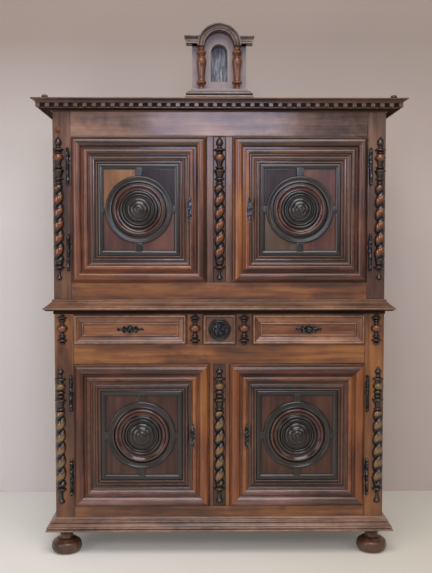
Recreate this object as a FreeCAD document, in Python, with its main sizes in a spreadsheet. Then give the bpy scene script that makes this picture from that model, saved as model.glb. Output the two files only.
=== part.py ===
import FreeCAD, Part
import math
import os
import Sketcher

# A two-stage walnut cupboard: a lower case on bun feet with two doors under three drawers,
# an upper case with two doors under a cornice, and a small arched niche standing on top.
# X runs to the right, Y to the back and Z up. The origin lies on the floor, under the middle
# of the whole piece. Every length is in millimetres.

SIZES = {
    # The body that both cases share
    "body_width": 1460,
    "body_depth": 580,
    "frame_thickness": 28,
    "side_thickness": 34,
    "side_stile_width": 56,
    "rear_post_depth": 70,
    "panel_thickness": 12,
    "panel_sinking": 8,
    "back_thickness": 14,
    "board_thickness": 18,
    "shelf_setback": 66,
    # Lower case, from the floor up
    "foot_height": 110,
    "foot_radius": 69,
    "foot_side_inset": 40,
    "foot_front_inset": 36,
    "lower_bottom_rail_height": 106,
    "lower_door_height": 639,
    "middle_rail_height": 87,
    "drawer_opening_height": 135,
    "lower_top_rail_height": 65,
    "lower_stile_width": 84,
    "lower_centre_stile_width": 91,
    "lower_shelf_rise": 330,
    # Upper case
    "upper_bottom_rail_height": 75,
    "upper_door_height": 640,
    "upper_top_rail_height": 155,
    "upper_stile_width": 78,
    "upper_centre_stile_width": 114,
    "upper_shelf_rise": 300,
    "channel_width": 54,
    "channel_depth": 5,
    # Mouldings that run round the front and both sides
    "base_reach": 42,
    "base_height": 59,
    "waist_reach": 44,
    "waist_height": 65,
    "cornice_reach": 81,
    "cornice_height": 49,
    "dentil_width": 20,
    "dentil_pitch": 40,
    "dentil_stand": 10,
    "dentil_height": 17,
    "cornice_knob_radius": 14,
    "cornice_knob_height": 20,
    "cornice_knob_inset": 27,
    # Doors
    "door_thickness": 24,
    "door_clearance": 1.5,
    "door_frame_width": 76,
    "door_proud": 28,
    "field_sinking": 4,
    "inner_moulding_width": 69,
    "inner_moulding_height": 15,
    "door_panel_thickness": 12,
    "ear_reach": 8,
    "ring_width": 30,
    "ring_height": 14,
    "ear_width": 31,
    "ear_depth": 9,
    "upper_boss_gap": 9,
    "lower_boss_gap": 4.5,
    "boss_height": 38,
    # Hinges and locks
    "hinge_offset": 12,
    "hinge_stand": 10,
    "hinge_inset": 130,
    "barrel_radius": 6.5,
    "barrel_length": 66,
    "finial_radius": 4,
    "finial_length": 16,
    "pin_radius": 3,
    "pin_length": 40,
    "pin_clearance": 0.6,
    "hinge_gap": 0.3,
    "leaf_height": 50,
    "leaf_thickness": 3,
    "leaf_stand": 5,
    "tail_width": 8,
    "escutcheon_width": 24,
    "escutcheon_height": 110,
    "escutcheon_thickness": 2.5,
    "escutcheon_inset": 73,
    "keyhole_radius": 4,
    "keyhole_length": 17,
    "lock_width": 80,
    "lock_height": 90,
    "lock_depth": 20,
    "lock_setback": 8,
    "bolt_thickness": 7,
    "bolt_height": 22,
    "bolt_length": 60,
    "bolt_stand": 5.5,
    "bolt_clearance": 0.3,
    # Drawers
    "divider_width": 71,
    "centre_opening_width": 147,
    "divider_guide_thickness": 20,
    "guide_height": 60,
    "drawer_clearance": 1.5,
    "drawer_lift": 0.3,
    "drawer_front_thickness": 22,
    "drawer_moulding_width": 44,
    "centre_drawer_moulding_width": 15,
    "drawer_moulding_height": 14,
    "drawer_box_length": 480,
    "drawer_side_height": 112,
    "drawer_board_thickness": 12,
    "drawer_bottom_thickness": 8,
    "drawer_bottom_rise": 8,
    "pull_plate_length": 123,
    "pull_plate_height": 35,
    "pull_plate_thickness": 3,
    "knob_radius": 13.5,
    "knob_length": 26,
    "centre_boss_radius": 50,
    "centre_boss_height": 18,
    "keyhole_disc_radius": 33,
    "keyhole_disc_thickness": 3,
    "drawer_lock_width": 60,
    "drawer_lock_height": 56,
    "drawer_lock_depth": 20,
    "drawer_lock_drop": 4,
    "drawer_bolt_width": 22,
    "drawer_bolt_thickness": 6,
    "drawer_bolt_length": 44,
    # Applied split turnings
    "column_radius": 23.5,
    "column_inset": 24,
    "upper_column_foot_gap": 11,
    "upper_column_head_gap": 1,
    "upper_column_head": 208,
    "lower_column_foot_gap": 11,
    "lower_column_head_gap": 11,
    "lower_column_head": 197,
    "column_foot": 82,
    "twist_pitch": 57.3,
    "twist_throw": 5.5,
    "spindle_radius": 23,
    "spindle_inset": 34,
    # Niche on top
    "niche_setback": 60,
    "niche_base_width": 316,
    "niche_base_height": 56,
    "niche_base_depth": 190,
    "niche_step": 18,
    "niche_plinth_height": 11,
    "niche_plinth_margin": 4,
    "niche_board_width": 244,
    "niche_board_depth": 100,
    "niche_board_setback": 66,
    "arch_radius": 65,
    "recess_width": 75,
    "recess_rise": 39,
    "recess_height": 168,
    "recess_depth": 60,
    "colonnette_spacing": 80,
    "colonnette_radius": 23,
    "colonnette_height": 190,
    "colonnette_gap": 1,
    "pediment_width": 312,
    "pediment_band_height": 14,
    "pediment_crown_height": 28,
    "pediment_band_step": 12,
    "pediment_band_ring": 13,
    "pediment_crown_ring": 20,
    "pediment_overhang": 58,
    # How far a cutting shape runs past what it cuts
    "cut_overrun": 20,
}

# How many flat sides stand in for each kind of round piece
WIDE_SIDES = 16
FOOT_SIDES = 12
COLUMN_SIDES = 8
IRON_SIDES = 6
ARCH_SIDES = 12
# How many flat sides stand in for one arc of a moulding, and of a turning
ARC_SIDES = 3
TURNED_ARC_SIDES = 2
STEPS_PER_TWIST = 5
BACK_PLANKS = 4
# Below this a coordinate counts as zero
LEAST = 1e-6

document = FreeCAD.newDocument("cupboard")
sheet = document.addObject("Spreadsheet::Sheet", "Sizes")


class Size:
    """A length: its value in millimetres, and the sum over the sheet's cells that gives it."""

    def __init__(self, value, text):
        self.value = float(value)
        self.text = text

    def __add__(self, other):
        return Size(self.value + value_of(other), "(%s + %s)" % (self.text, text_of(other)))

    def __radd__(self, other):
        return Size(value_of(other) + self.value, "(%s + %s)" % (text_of(other), self.text))

    def __sub__(self, other):
        return Size(self.value - value_of(other), "(%s - %s)" % (self.text, text_of(other)))

    def __rsub__(self, other):
        return Size(value_of(other) - self.value, "(%s - %s)" % (text_of(other), self.text))

    def __mul__(self, other):
        return Size(self.value * value_of(other), "(%s * %s)" % (self.text, text_of(other)))

    def __rmul__(self, other):
        return Size(value_of(other) * self.value, "(%s * %s)" % (text_of(other), self.text))

    def __truediv__(self, other):
        return Size(self.value / value_of(other), "(%s / %s)" % (self.text, text_of(other)))

    def __neg__(self):
        return Size(-self.value, "(0 - %s)" % self.text)


class Sheet:
    """The cells of the sheet, each read as a Size by its alias."""


def value_of(term):
    return term.value if isinstance(term, Size) else float(term)


def text_of(term):
    return term.text if isinstance(term, Size) else "%.12g" % term


def least(first, second):
    """The smaller of two lengths, whichever it is after a change of size."""
    return Size(min(value_of(first), value_of(second)), "min(%s; %s)" % (text_of(first), text_of(second)))


def fill_sheet():
    cells = Sheet()
    for row, (alias, value) in enumerate(SIZES.items(), start=1):
        sheet.set("A%d" % row, alias)
        sheet.set("B%d" % row, "%g" % value)
        sheet.setAlias("B%d" % row, alias)
        setattr(cells, alias, Size(value, "Sizes." + alias))
    document.recompute()
    return cells


s = fill_sheet()

# Levels and planes that several pieces meet at
HALF = s.body_width / 2
FRONT = (s.cornice_reach - s.body_depth) / 2
BACK = FRONT + s.body_depth
LOWER_DOORS_LOW = s.foot_height + s.lower_bottom_rail_height
LOWER_DOORS_HIGH = LOWER_DOORS_LOW + s.lower_door_height
DRAWERS_LOW = LOWER_DOORS_HIGH + s.middle_rail_height
DRAWERS_HIGH = DRAWERS_LOW + s.drawer_opening_height
WAIST = DRAWERS_HIGH + s.lower_top_rail_height
UPPER_DOORS_LOW = WAIST + s.upper_bottom_rail_height
UPPER_DOORS_HIGH = UPPER_DOORS_LOW + s.upper_door_height
TOP = UPPER_DOORS_HIGH + s.upper_top_rail_height
FRAME_BACK = FRONT + s.frame_thickness
INNER_SIDE = HALF - s.side_thickness
BACK_FACE = BACK - s.back_thickness

X_AXIS = FreeCAD.Vector(1, 0, 0)
Z_AXIS = FreeCAD.Vector(0, 0, 1)
TOWARDS_FRONT = FreeCAD.Vector(0, -1, 0)
UPRIGHT = FreeCAD.Rotation()
# Turns a shape drawn upright so that its top points to the front.
FACE_FRONT = FreeCAD.Rotation(X_AXIS, 90)
# Lays a section drawn flat into the plane across the X axis.
ACROSS_X = FreeCAD.Rotation(FreeCAD.Vector(1, 1, 1), 120)

node_list = []


def bind(item, name, term):
    item.setExpression(name, text_of(term))


def set_down(item, place, rotation=UPRIGHT):
    """Turns the item and ties its place to the sheet."""
    item.Placement = FreeCAD.Placement(FreeCAD.Vector(), rotation)
    for axis, term in zip("xyz", place):
        bind(item, "Placement.Base." + axis, term)
    return item


def node(label, pieces):
    """Joins separate solids under the one name that their file takes."""
    item = document.addObject("Part::Compound", label)
    item.Label = label
    item.Links = pieces
    node_list.append(item)
    return item


def block(name, along_x, along_y, along_z):
    """A squared piece of wood or iron between two places on each axis."""
    item = document.addObject("Part::Box", name)
    for side, (low, high) in zip(("Length", "Width", "Height"), (along_x, along_y, along_z)):
        bind(item, side, high - low)
    return set_down(item, (along_x[0], along_y[0], along_z[0]))


def mirrored_blocks(name, along_x, along_y, along_z):
    """The same block at the right side and at the left side."""
    near, far = along_x
    right = block(name + "_right", (near, far), along_y, along_z)
    left = block(name + "_left", (-far, -near), along_y, along_z)
    return [right, left]


def place_tie(side, spot, kind, term):
    """Ties one coordinate of a point of a sketch to the sheet, or puts it on the axis."""
    if abs(value_of(term)) > LEAST:
        return Sketcher.Constraint(kind, -1, 1, side, spot, value_of(term)), term
    axis = -2 if kind == "DistanceX" else -1
    return Sketcher.Constraint("PointOnObject", side, spot, axis), None


def fill_sketch(sketch, corners):
    """Draws a closed outline of straight sides, and ties each corner to the sheet."""
    points = [FreeCAD.Vector(value_of(across), value_of(up), 0) for across, up in corners]
    count = len(corners)
    for index, start in enumerate(points):
        sketch.addGeometry(Part.LineSegment(start, points[(index + 1) % count]), False)
    ties = []
    for index, (across, up) in enumerate(corners):
        ties.append((Sketcher.Constraint("Coincident", index, 2, (index + 1) % count, 1), None))
        ties.append(place_tie(index, 1, "DistanceX", across))
        ties.append(place_tie(index, 1, "DistanceY", up))
    sketch.addConstraint([joint for joint, _ in ties])
    for number, (_, term) in enumerate(ties):
        if term is not None:
            bind(sketch, "Constraints[%d]" % number, term)


def body_sketch(body, name, plane_role, corners):
    """An outline on one of the body's own planes."""
    sketch = body.newObject("Sketcher::SketchObject", name)
    plane = [feature for feature in body.Origin.OriginFeatures if feature.Role == plane_role][0]
    sketch.AttachmentSupport = (plane, [""])
    sketch.MapMode = "FlatFace"
    fill_sketch(sketch, corners)
    return sketch


def section_sketch(name, corners):
    """The section of a moulding, drawn across the X axis for every length cut from it."""
    sketch = document.addObject("Sketcher::SketchObject", name)
    sketch.Placement = FreeCAD.Placement(FreeCAD.Vector(), ACROSS_X)
    fill_sketch(sketch, corners)
    return sketch


def chorded(shares, sides=ARC_SIDES):
    """Follows rows of shares, with each round stretch drawn as short straight sides.

    A row is (across, up) or (across, up, bulge): the bulge is the rise of the arc that starts
    there, as a share of its chord, positive where it swells to the right of the way.
    """
    corners = []
    for row, following in zip(shares, shares[1:] + shares[:1]):
        corners.append(row[:2])
        if len(row) == 2:
            continue
        run, rise = following[0] - row[0], following[1] - row[1]
        half_angle = 2 * math.atan(2 * row[2])
        for side in range(1, sides):
            turn = half_angle * (2 * side / sides - 1)
            along = (1 + math.sin(turn) / math.sin(half_angle)) / 2
            aside = (math.cos(turn) - math.cos(half_angle)) / math.sin(half_angle) / 2
            corners.append((round(row[0] + run * along + rise * aside, 4),
                            round(row[1] + rise * along - run * aside, 4)))
    return corners


def scaled(shares, across, up, across_start=0, up_start=0):
    """Turns pairs of shares into corners in real sizes."""
    corners = []
    for across_share, up_share in shares:
        far = across_start + across * across_share if across_share else across_start
        high = up_start + up * up_share if up_share else up_start
        corners.append((far, high))
    return corners


def turned_outline(shares, radius, height):
    """The radius at each level of a turning, from its foot up."""
    return scaled(chorded(shares, TURNED_ARC_SIDES), radius, height)


def copy_of(original, name, place, rotation=UPRIGHT):
    """One more of the same piece, set down elsewhere."""
    link = document.addObject("App::Link", name)
    link.LinkedObject = original
    return set_down(link, place, rotation)


def combined(kind, name, first, second):
    item = document.addObject("Part::" + kind, name)
    item.Base = first
    item.Tool = second
    return item


def fused(name, pieces):
    item = document.addObject("Part::MultiFuse", name)
    item.Shapes = pieces
    return item


def gore(name, corners, sides):
    """One of the equal wedges that a turning is set out in, from its axis to a flat side in front.

    Its corners give the radius at each level, from the foot up.
    """
    flat_share = math.cos(math.pi / sides)
    spread_share = math.tan(math.pi / sides)
    levels = [level for _, level in corners]
    low, high = min(levels, key=value_of), max(levels, key=value_of)
    outline = [(0, levels[0])] + [(-radius * flat_share, level) for radius, level in corners] + [(0, levels[-1])]
    reach = max((radius for radius, _ in corners), key=value_of)
    half_width = reach * spread_share
    run = document.addObject("Part::Extrusion", name + "_run")
    run.Base = section_sketch(name + "_section", outline)
    run.DirMode = "Custom"
    run.Dir = X_AXIS
    run.Solid = True
    bind(run, "LengthFwd", half_width * 2)
    set_down(run, (-half_width, 0, 0))
    cutter = document.addObject("Part::Wedge", name + "_wedge")
    limits = {"Xmin": -half_width, "Xmax": half_width, "X2min": 0, "X2max": 0, "Ymin": -reach, "Ymax": 0,
              "Zmin": low, "Z2min": low, "Zmax": high, "Z2max": high}
    for limit, term in limits.items():
        bind(cutter, limit, term)
    return combined("Common", name, run, cutter)


def turning(name, corners, sides, first_side=0, last_side=None):
    """A piece turned about its upright axis, drawn with flat sides: one gore, set round."""
    pattern = gore(name + "_gore", corners, sides)
    side_angle = 360 / sides
    copies = [copy_of(pattern, "%s_side_%d" % (name, number), (0, 0, 0),
                      FreeCAD.Rotation(Z_AXIS, side_angle * (number + 0.5)))
              for number in range(first_side, last_side or sides)]
    whole = fused(name, copies)
    whole.Refine = True
    return whole


def split_turning(name, corners, sides):
    """The front half of a turning, flat at the back."""
    return turning(name, corners, sides, -sides // 4, sides // 4)


def plate(name, corners, thickness, holes=()):
    """A flat piece cut to an outline that faces the front, with openings right through it."""
    body = document.addObject("PartDesign::Body", name)
    sketch = body_sketch(body, name + "_outline", "XZ_Plane", corners)
    pad = body.newObject("PartDesign::Pad", name + "_pad")
    pad.Profile = sketch
    bind(pad, "Length", thickness)
    for number, hole in enumerate(holes):
        opening = body_sketch(body, "%s_hole_%d" % (name, number), "XZ_Plane", hole)
        pocket = body.newObject("PartDesign::Pocket", "%s_pocket_%d" % (name, number))
        pocket.Profile = opening
        pocket.Reversed = True
        bind(pocket, "Length", thickness)
    return body


def moulding_length(name, section, length, reach, height, ends):
    """One length of moulding along X, its back on the X axis and its section growing along Y.

    Each end is cut square (0), or mitred so that the length grows (1) or shrinks (-1)
    with the distance from its back.
    """
    run = document.addObject("Part::Extrusion", name + "_run")
    run.Base = section
    run.DirMode = "Custom"
    run.Dir = X_AXIS
    run.Solid = True
    bind(run, "LengthFwd", length + reach * 2)
    set_down(run, (-reach, 0, 0))
    cutter = document.addObject("Part::Wedge", name + "_mitre")
    start, end = ends
    beyond = reach + s.cut_overrun
    limits = {
        "Xmin": s.cut_overrun * start,
        "Xmax": length - s.cut_overrun * end,
        "X2min": -beyond * start,
        "X2max": length + beyond * end,
        "Ymin": -s.cut_overrun,
        "Ymax": beyond,
        "Zmin": -s.cut_overrun,
        "Z2min": -s.cut_overrun,
        "Zmax": height + s.cut_overrun,
        "Z2max": height + s.cut_overrun,
    }
    for limit, term in limits.items():
        bind(cutter, limit, term)
    return combined("Common", name, run, cutter)


def girdle(name, shares, reach, height, low):
    """A moulding round the front and both sides: three lengths that meet in mitres."""
    section = section_sketch(name + "_section", scaled(chorded(shares), reach, height))
    front = moulding_length(name + "_front", section, s.body_width, reach, height, (1, 1))
    set_down(front, (HALF, FRONT, low), FreeCAD.Rotation(Z_AXIS, 180))
    left = moulding_length(name + "_left", section, s.body_depth, reach, height, (1, 0))
    set_down(left, (-HALF, FRONT, low), FreeCAD.Rotation(Z_AXIS, 90))
    right = moulding_length(name + "_right", section, s.body_depth, reach, height, (0, 1))
    set_down(right, (HALF, BACK, low), FreeCAD.Rotation(Z_AXIS, -90))
    return [front, left, right]


def picture_frame(name, section, low_left, size, face, reach, height):
    """Four lengths mitred round a rectangle: bottom, right, top and left.

    The section grows inward from the rectangle's edge and forward from the face.
    """
    (left, low), (width, tall) = low_left, size
    corners = ((left, low), (left + width, low), (left + width, low + tall), (left, low + tall))
    pieces = []
    for quarter, ((across, up), length) in enumerate(zip(corners, (width, tall, width, tall))):
        piece = moulding_length("%s_%d" % (name, quarter), section, length, reach, height, (-1, -1))
        turn = FreeCAD.Rotation(TOWARDS_FRONT, 90 * quarter).multiply(FACE_FRONT)
        pieces.append(set_down(piece, (across, face, up), turn))
    return pieces


# Outlines, as shares of the sizes named where they are used: across, up, and the bulge of
# the arc that starts at that corner
FOOT_SHARES = (
    (0.56, 0), (0.72, 0.03, 0.12), (1, 0.38, 0.14), (0.76, 0.7), (0.42, 0.8, -0.2), (0.6, 0.95),
    (0.62, 1),
)
BASE_SHARES = (
    (0, 0), (1, 0), (1, 0.14, 0.2), (0.79, 0.41), (0.42, 0.66), (0.36, 0.69), (0.04, 0.96), (0, 1),
)
WAIST_SHARES = (
    (0, 0), (0.3, 0), (0.3, 0.1), (0.8, 0.16, 0.5), (0.8, 0.6), (0.45, 0.66), (0.12, 0.96),
    (0.12, 1), (0, 1),
)
CORNICE_SHARES = (
    (0, 0), (0.1, 0.14), (0.63, 0.2), (0.63, 0.6), (0.76, 0.6), (0.76, 0.66, -0.2), (0.97, 0.9),
    (1, 0.9), (1, 1), (0, 1),
)
DOOR_FRAME_SHARES = (
    (1, 0.36, 0.08), (0.91, 0.7), (0.76, 0.7, 0.16), (0.67, 0.46), (0.66, 0.36), (0.57, 0.36),
    (0.55, 0.5, 0.2), (0.34, 1), (0.22, 1, 0.16), (0.04, 0.46), (0, 0.3),
)
INNER_MOULDING_SHARES = (
    (0, 0), (0.93, 0), (0.93, 0.14), (0.57, 0.72), (0.5, 0.84), (0.49, 0.62), (0.42, 0.62),
    (0.41, 0.9), (0.27, 0.9), (0.24, 0.74, -0.3), (0.04, 0.8), (0, 1),
)
# Across the ring's width from its inner edge
RING_SHARES = ((1, 0), (1, 0.4, 0.2), (0.46, 1), (0.26, 0.6), (0.02, 0.45))
BOSS_SHARES = (
    (1, 0), (1, 0.12, 0.25), (0.84, 0.28), (0.76, 0.16), (0.74, 0.32, 0.3), (0.54, 0.4), (0.46, 0.3),
    (0.42, 0.56), (0.01, 1),
)
DRAWER_MOULDING_SHARES = (
    (0, 0), (1, 0), (1, 0.3), (0.88, 0.3), (0.84, 0.12), (0.46, 0.7), (0.44, 0.82, 0.28), (0.16, 0.84),
    (0, 0.4),
)
UPPER_HEAD_SHARES = (
    (0.72, 0), (0.72, 0.04), (0.5, 0.07), (0.76, 0.12), (0.84, 0.3), (0.6, 0.35), (0.66, 0.5),
    (0.96, 0.6), (0.38, 0.73), (0.86, 0.77), (0.34, 0.82), (0.6, 0.9), (0.08, 1),
)
LOWER_HEAD_SHARES = (
    (0.84, 0), (0.84, 0.06), (0.56, 0.1), (0.78, 0.2), (0.76, 0.3), (0.5, 0.35), (0.56, 0.46),
    (0.86, 0.54), (0.38, 0.67), (0.86, 0.73), (0.34, 0.8), (0.6, 0.88), (0.08, 1),
)
FOOT_END_SHARES = (
    (0.2, 0), (0.4, 0.06), (0.54, 0.18), (0.3, 0.36), (0.5, 0.52), (0.92, 0.66), (0.92, 0.76),
    (0.56, 0.84), (0.8, 0.9), (0.72, 1),
)
SPINDLE_SHARES = (
    (0.2, 0), (0.3, 0.03), (0.85, 0.1), (0.85, 0.15), (0.4, 0.22), (0.44, 0.42), (0.86, 0.56),
    (0.86, 0.66), (0.4, 0.78), (1, 0.84), (0.92, 0.88), (0.36, 0.97), (0.1, 1),
)
COLONNETTE_SHARES = (
    (0.6, 0), (0.6, 0.04), (0.5, 0.06), (0.5, 0.12), (0.8, 0.15), (0.4, 0.19), (0.66, 0.36),
    (1, 0.5), (0.42, 0.7), (0.9, 0.75), (0.44, 0.8), (0.74, 0.9), (0.54, 1),
)
KNOB_SHARES = ((0.6, 0), (0.46, 0.36), (0.84, 0.44, 0.32), (0.84, 0.94), (0.2, 1))
CENTRE_BOSS_SHARES = ((1, 0), (1, 0.36, 0.12), (0.8, 1), (0.72, 0.7), (0.66, 0.5))
# A quarter of a shaped plate, from its right tip up to its top, as shares of half its length
# and half its height
PULL_SHARES = ((1, 0), (0.8, 0.42), (0.62, 0.3), (0.44, 0.86), (0.24, 0.62), (0.1, 1))
ESCUTCHEON_SHARES = ((1, 0.12), (0.7, 0.34), (0.9, 0.5), (0.26, 0.7), (0.36, 0.86), (0, 1))
# The side of a keyhole from its foot to its crown, as shares of the round's radius
KEYHOLE_SHARES = ((0.5, -0.87), (0.87, -0.5), (1, 0), (0.71, 0.71), (0, 1))


def spoke(share):
    """Across and up at a share of a full turn."""
    angle = 2 * math.pi * share
    return round(math.cos(angle), 4), round(math.sin(angle), 4)


def round_outline(radius, sides):
    """A full round drawn with short straight sides."""
    return scaled([spoke(number / sides) for number in range(sides)], radius, radius)


def half_round(radius, level):
    """An upright half round, from its right foot over the top to its left foot."""
    spokes = [spoke(number / ARCH_SIDES / 2) for number in range(ARCH_SIDES + 1)]
    return scaled(spokes, radius, radius, 0, level)


def four_fold(shares, half_across, half_up):
    """A plate's outline, mirrored from one quarter across both of its middles."""
    corners = []
    for side_x, side_y in ((1, 1), (-1, 1), (-1, -1), (1, -1)):
        straight = side_x == side_y
        for across_share, up_share in shares if straight else shares[::-1]:
            if straight or (across_share and up_share):
                across = half_across * (across_share * side_x) if across_share else 0
                corners.append((across, half_up * (up_share * side_y) if up_share else 0))
    return corners


def between(first, second):
    """The two places in rising order."""
    return (first, second) if value_of(first) <= value_of(second) else (second, first)


def make_feet():
    foot = turning("bun_foot", turned_outline(FOOT_SHARES, s.foot_radius, s.foot_height), FOOT_SIDES)
    across = HALF - s.foot_side_inset
    depth = FRONT + s.foot_front_inset
    right = copy_of(foot, "bun_foot_right", (across, depth, 0))
    left = copy_of(foot, "bun_foot_left", (-across, depth, 0))
    node("bun_feet", [right, left])


def side_frame(name, low, high, rails):
    """The stiles and rails of both side walls; the rear stile's foot may reach lower."""
    stile = mirrored_blocks(name + "_side_stile", (INNER_SIDE, HALF),
                            (FRAME_BACK, FRAME_BACK + s.side_stile_width), (low, high))
    pieces = []
    depth = (FRAME_BACK + s.side_stile_width, BACK - s.rear_post_depth)
    for number, level in enumerate(rails):
        pieces += mirrored_blocks("%s_side_rail_%d" % (name, number), (INNER_SIDE, HALF), depth, level)
    return stile, pieces


def side_panels(name, openings):
    outer = HALF - s.panel_sinking
    depth = (FRAME_BACK + s.side_stile_width, BACK - s.rear_post_depth)
    pieces = []
    for number, level in enumerate(openings):
        pieces += mirrored_blocks("%s_side_panel_%d" % (name, number),
                                  (outer - s.panel_thickness, outer), depth, level)
    node(name + "_side_panels", pieces)


def back_planks(name, low, high):
    width = INNER_SIDE * 2 / BACK_PLANKS
    pieces = []
    for number in range(BACK_PLANKS):
        left = width * number - INNER_SIDE
        pieces.append(block("%s_plank_%d" % (name, number), (left, left + width), (BACK_FACE, BACK), (low, high)))
    node(name + "_back", pieces)


def level_board(name, level, front):
    return block(name, (-INNER_SIDE, INNER_SIDE), (front, BACK_FACE), (level - s.board_thickness, level))


def channelled_stile(name, width, low, high):
    """The stile between two doors, with a shallow channel down its middle."""
    stile = block(name + "_plain", (-width / 2, width / 2), (FRONT, FRAME_BACK), (low, high))
    channel = block(name + "_channel", (-s.channel_width / 2, s.channel_width / 2),
                    (FRONT - s.channel_depth, FRONT + s.channel_depth), (low, high))
    return combined("Cut", name, stile, channel)


def make_lower_case():
    opening = HALF - s.lower_stile_width
    front = (FRONT, FRAME_BACK)
    levels = (
        (s.foot_height, LOWER_DOORS_LOW),
        (LOWER_DOORS_HIGH, DRAWERS_LOW),
        (DRAWERS_HIGH, WAIST),
    )
    side_stiles, side_rails = side_frame("lower", s.foot_height, WAIST, levels)
    stiles = mirrored_blocks("lower_stile", (opening, HALF), front, (s.foot_height, WAIST))
    posts = mirrored_blocks("lower_rear_post", (INNER_SIDE, HALF), (BACK - s.rear_post_depth, BACK), (0, WAIST))
    centre = channelled_stile("lower_centre_stile", s.lower_centre_stile_width, LOWER_DOORS_LOW, LOWER_DOORS_HIGH)
    node("lower_stiles", stiles + posts + side_stiles + [centre])
    rails = [block("lower_rail_%d" % number, (-opening, opening), front, level)
             for number, level in enumerate(levels)]
    node("lower_rails", rails + side_rails)
    side_panels("lower", ((LOWER_DOORS_LOW, LOWER_DOORS_HIGH), (DRAWERS_LOW, DRAWERS_HIGH)))
    back_planks("lower", s.foot_height, WAIST)
    shelf_level = LOWER_DOORS_LOW + s.lower_shelf_rise
    boards = [
        level_board("lower_bottom_board", LOWER_DOORS_LOW, FRAME_BACK),
        level_board("lower_shelf", shelf_level, FRONT + s.shelf_setback),
        level_board("drawer_floor_board", DRAWERS_LOW, FRAME_BACK),
        level_board("lower_top_board", WAIST, FRAME_BACK),
    ]
    node("lower_boards", boards)


def make_drawer_dividers():
    """The two uprights between the drawers, and the guides that the drawers run between."""
    near = s.centre_opening_width / 2
    far = near + s.divider_width
    middle = (near + far) / 2
    guide_depth = (FRAME_BACK, BACK_FACE)
    guide_level = (DRAWERS_LOW, DRAWERS_LOW + s.guide_height)
    pieces = mirrored_blocks("drawer_divider", (near, far), (FRONT, FRAME_BACK), (DRAWERS_LOW, DRAWERS_HIGH))
    pieces += mirrored_blocks("drawer_guide", (middle - s.divider_guide_thickness / 2,
                                               middle + s.divider_guide_thickness / 2), guide_depth, guide_level)
    pieces += mirrored_blocks("outer_guide", (HALF - s.lower_stile_width, INNER_SIDE), guide_depth, guide_level)
    node("drawer_dividers", pieces)


def make_upper_case():
    opening = HALF - s.upper_stile_width
    front = (FRONT, FRAME_BACK)
    levels = ((WAIST, UPPER_DOORS_LOW), (UPPER_DOORS_HIGH, TOP))
    side_stiles, side_rails = side_frame("upper", WAIST, TOP, levels)
    stiles = mirrored_blocks("upper_stile", (opening, HALF), front, (WAIST, TOP))
    posts = mirrored_blocks("upper_rear_post", (INNER_SIDE, HALF), (BACK - s.rear_post_depth, BACK), (WAIST, TOP))
    centre = channelled_stile("upper_centre_stile", s.upper_centre_stile_width, UPPER_DOORS_LOW, UPPER_DOORS_HIGH)
    node("upper_stiles", stiles + posts + side_stiles + [centre])
    rails = [block("upper_rail_%d" % number, (-opening, opening), front, level)
             for number, level in enumerate(levels)]
    node("upper_rails", rails + side_rails)
    side_panels("upper", ((UPPER_DOORS_LOW, UPPER_DOORS_HIGH),))
    back_planks("upper", WAIST, TOP)
    boards = [
        level_board("upper_bottom_board", UPPER_DOORS_LOW, FRAME_BACK),
        level_board("upper_shelf", UPPER_DOORS_LOW + s.upper_shelf_rise, FRONT + s.shelf_setback),
        level_board("upper_top_board", TOP, FRAME_BACK),
    ]
    node("upper_boards", boards)


def dentil_row(name, run):
    """The teeth of one straight run, set out evenly about its middle."""
    count = int(value_of(run) / value_of(s.dentil_pitch))
    pieces = []
    for number in range(count):
        middle = s.dentil_pitch * (number - (count - 1) / 2)
        pieces.append(block("%s_%d" % (name, number), (middle - s.dentil_width / 2, middle + s.dentil_width / 2),
                            (0, s.dentil_stand), (0, s.dentil_height)))
    row = document.addObject("Part::Compound", name)
    row.Links = pieces
    return row


def make_mouldings():
    node("base_moulding", girdle("base", BASE_SHARES, s.base_reach, s.base_height, s.foot_height))
    node("waist_moulding", girdle("waist", WAIST_SHARES, s.waist_reach, s.waist_height, WAIST - s.waist_height))
    low = TOP - s.cornice_height
    node("cornice", girdle("cornice", CORNICE_SHARES, s.cornice_reach, s.cornice_height, low))
    band_stand = s.cornice_reach * CORNICE_SHARES[2][0]
    band_low = low + s.cornice_height * CORNICE_SHARES[3][1] - s.dentil_height
    teeth = dentil_row("front_dentils", s.body_width + band_stand * 2)
    front = set_down(teeth, (0, FRONT - band_stand, band_low), FreeCAD.Rotation(Z_AXIS, 180))
    side = dentil_row("side_dentils", s.body_depth + band_stand - s.dentil_width)
    middle = (FRONT + BACK - band_stand) / 2
    left = copy_of(side, "left_dentils", (-HALF - band_stand, middle, band_low), FreeCAD.Rotation(Z_AXIS, 90))
    right = copy_of(side, "right_dentils", (HALF + band_stand, middle, band_low), FreeCAD.Rotation(Z_AXIS, -90))
    node("cornice_dentils", [front, left, right])
    knob = turning("cornice_knob", turned_outline(KNOB_SHARES, s.cornice_knob_radius, s.cornice_knob_height),
                   COLUMN_SIDES)
    across = HALF + s.cornice_knob_inset
    depth = FRONT - s.cornice_knob_inset
    node("cornice_knobs", [copy_of(knob, "cornice_knob_right", (across, depth, TOP)),
                           copy_of(knob, "cornice_knob_left", (-across, depth, TOP))])


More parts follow.
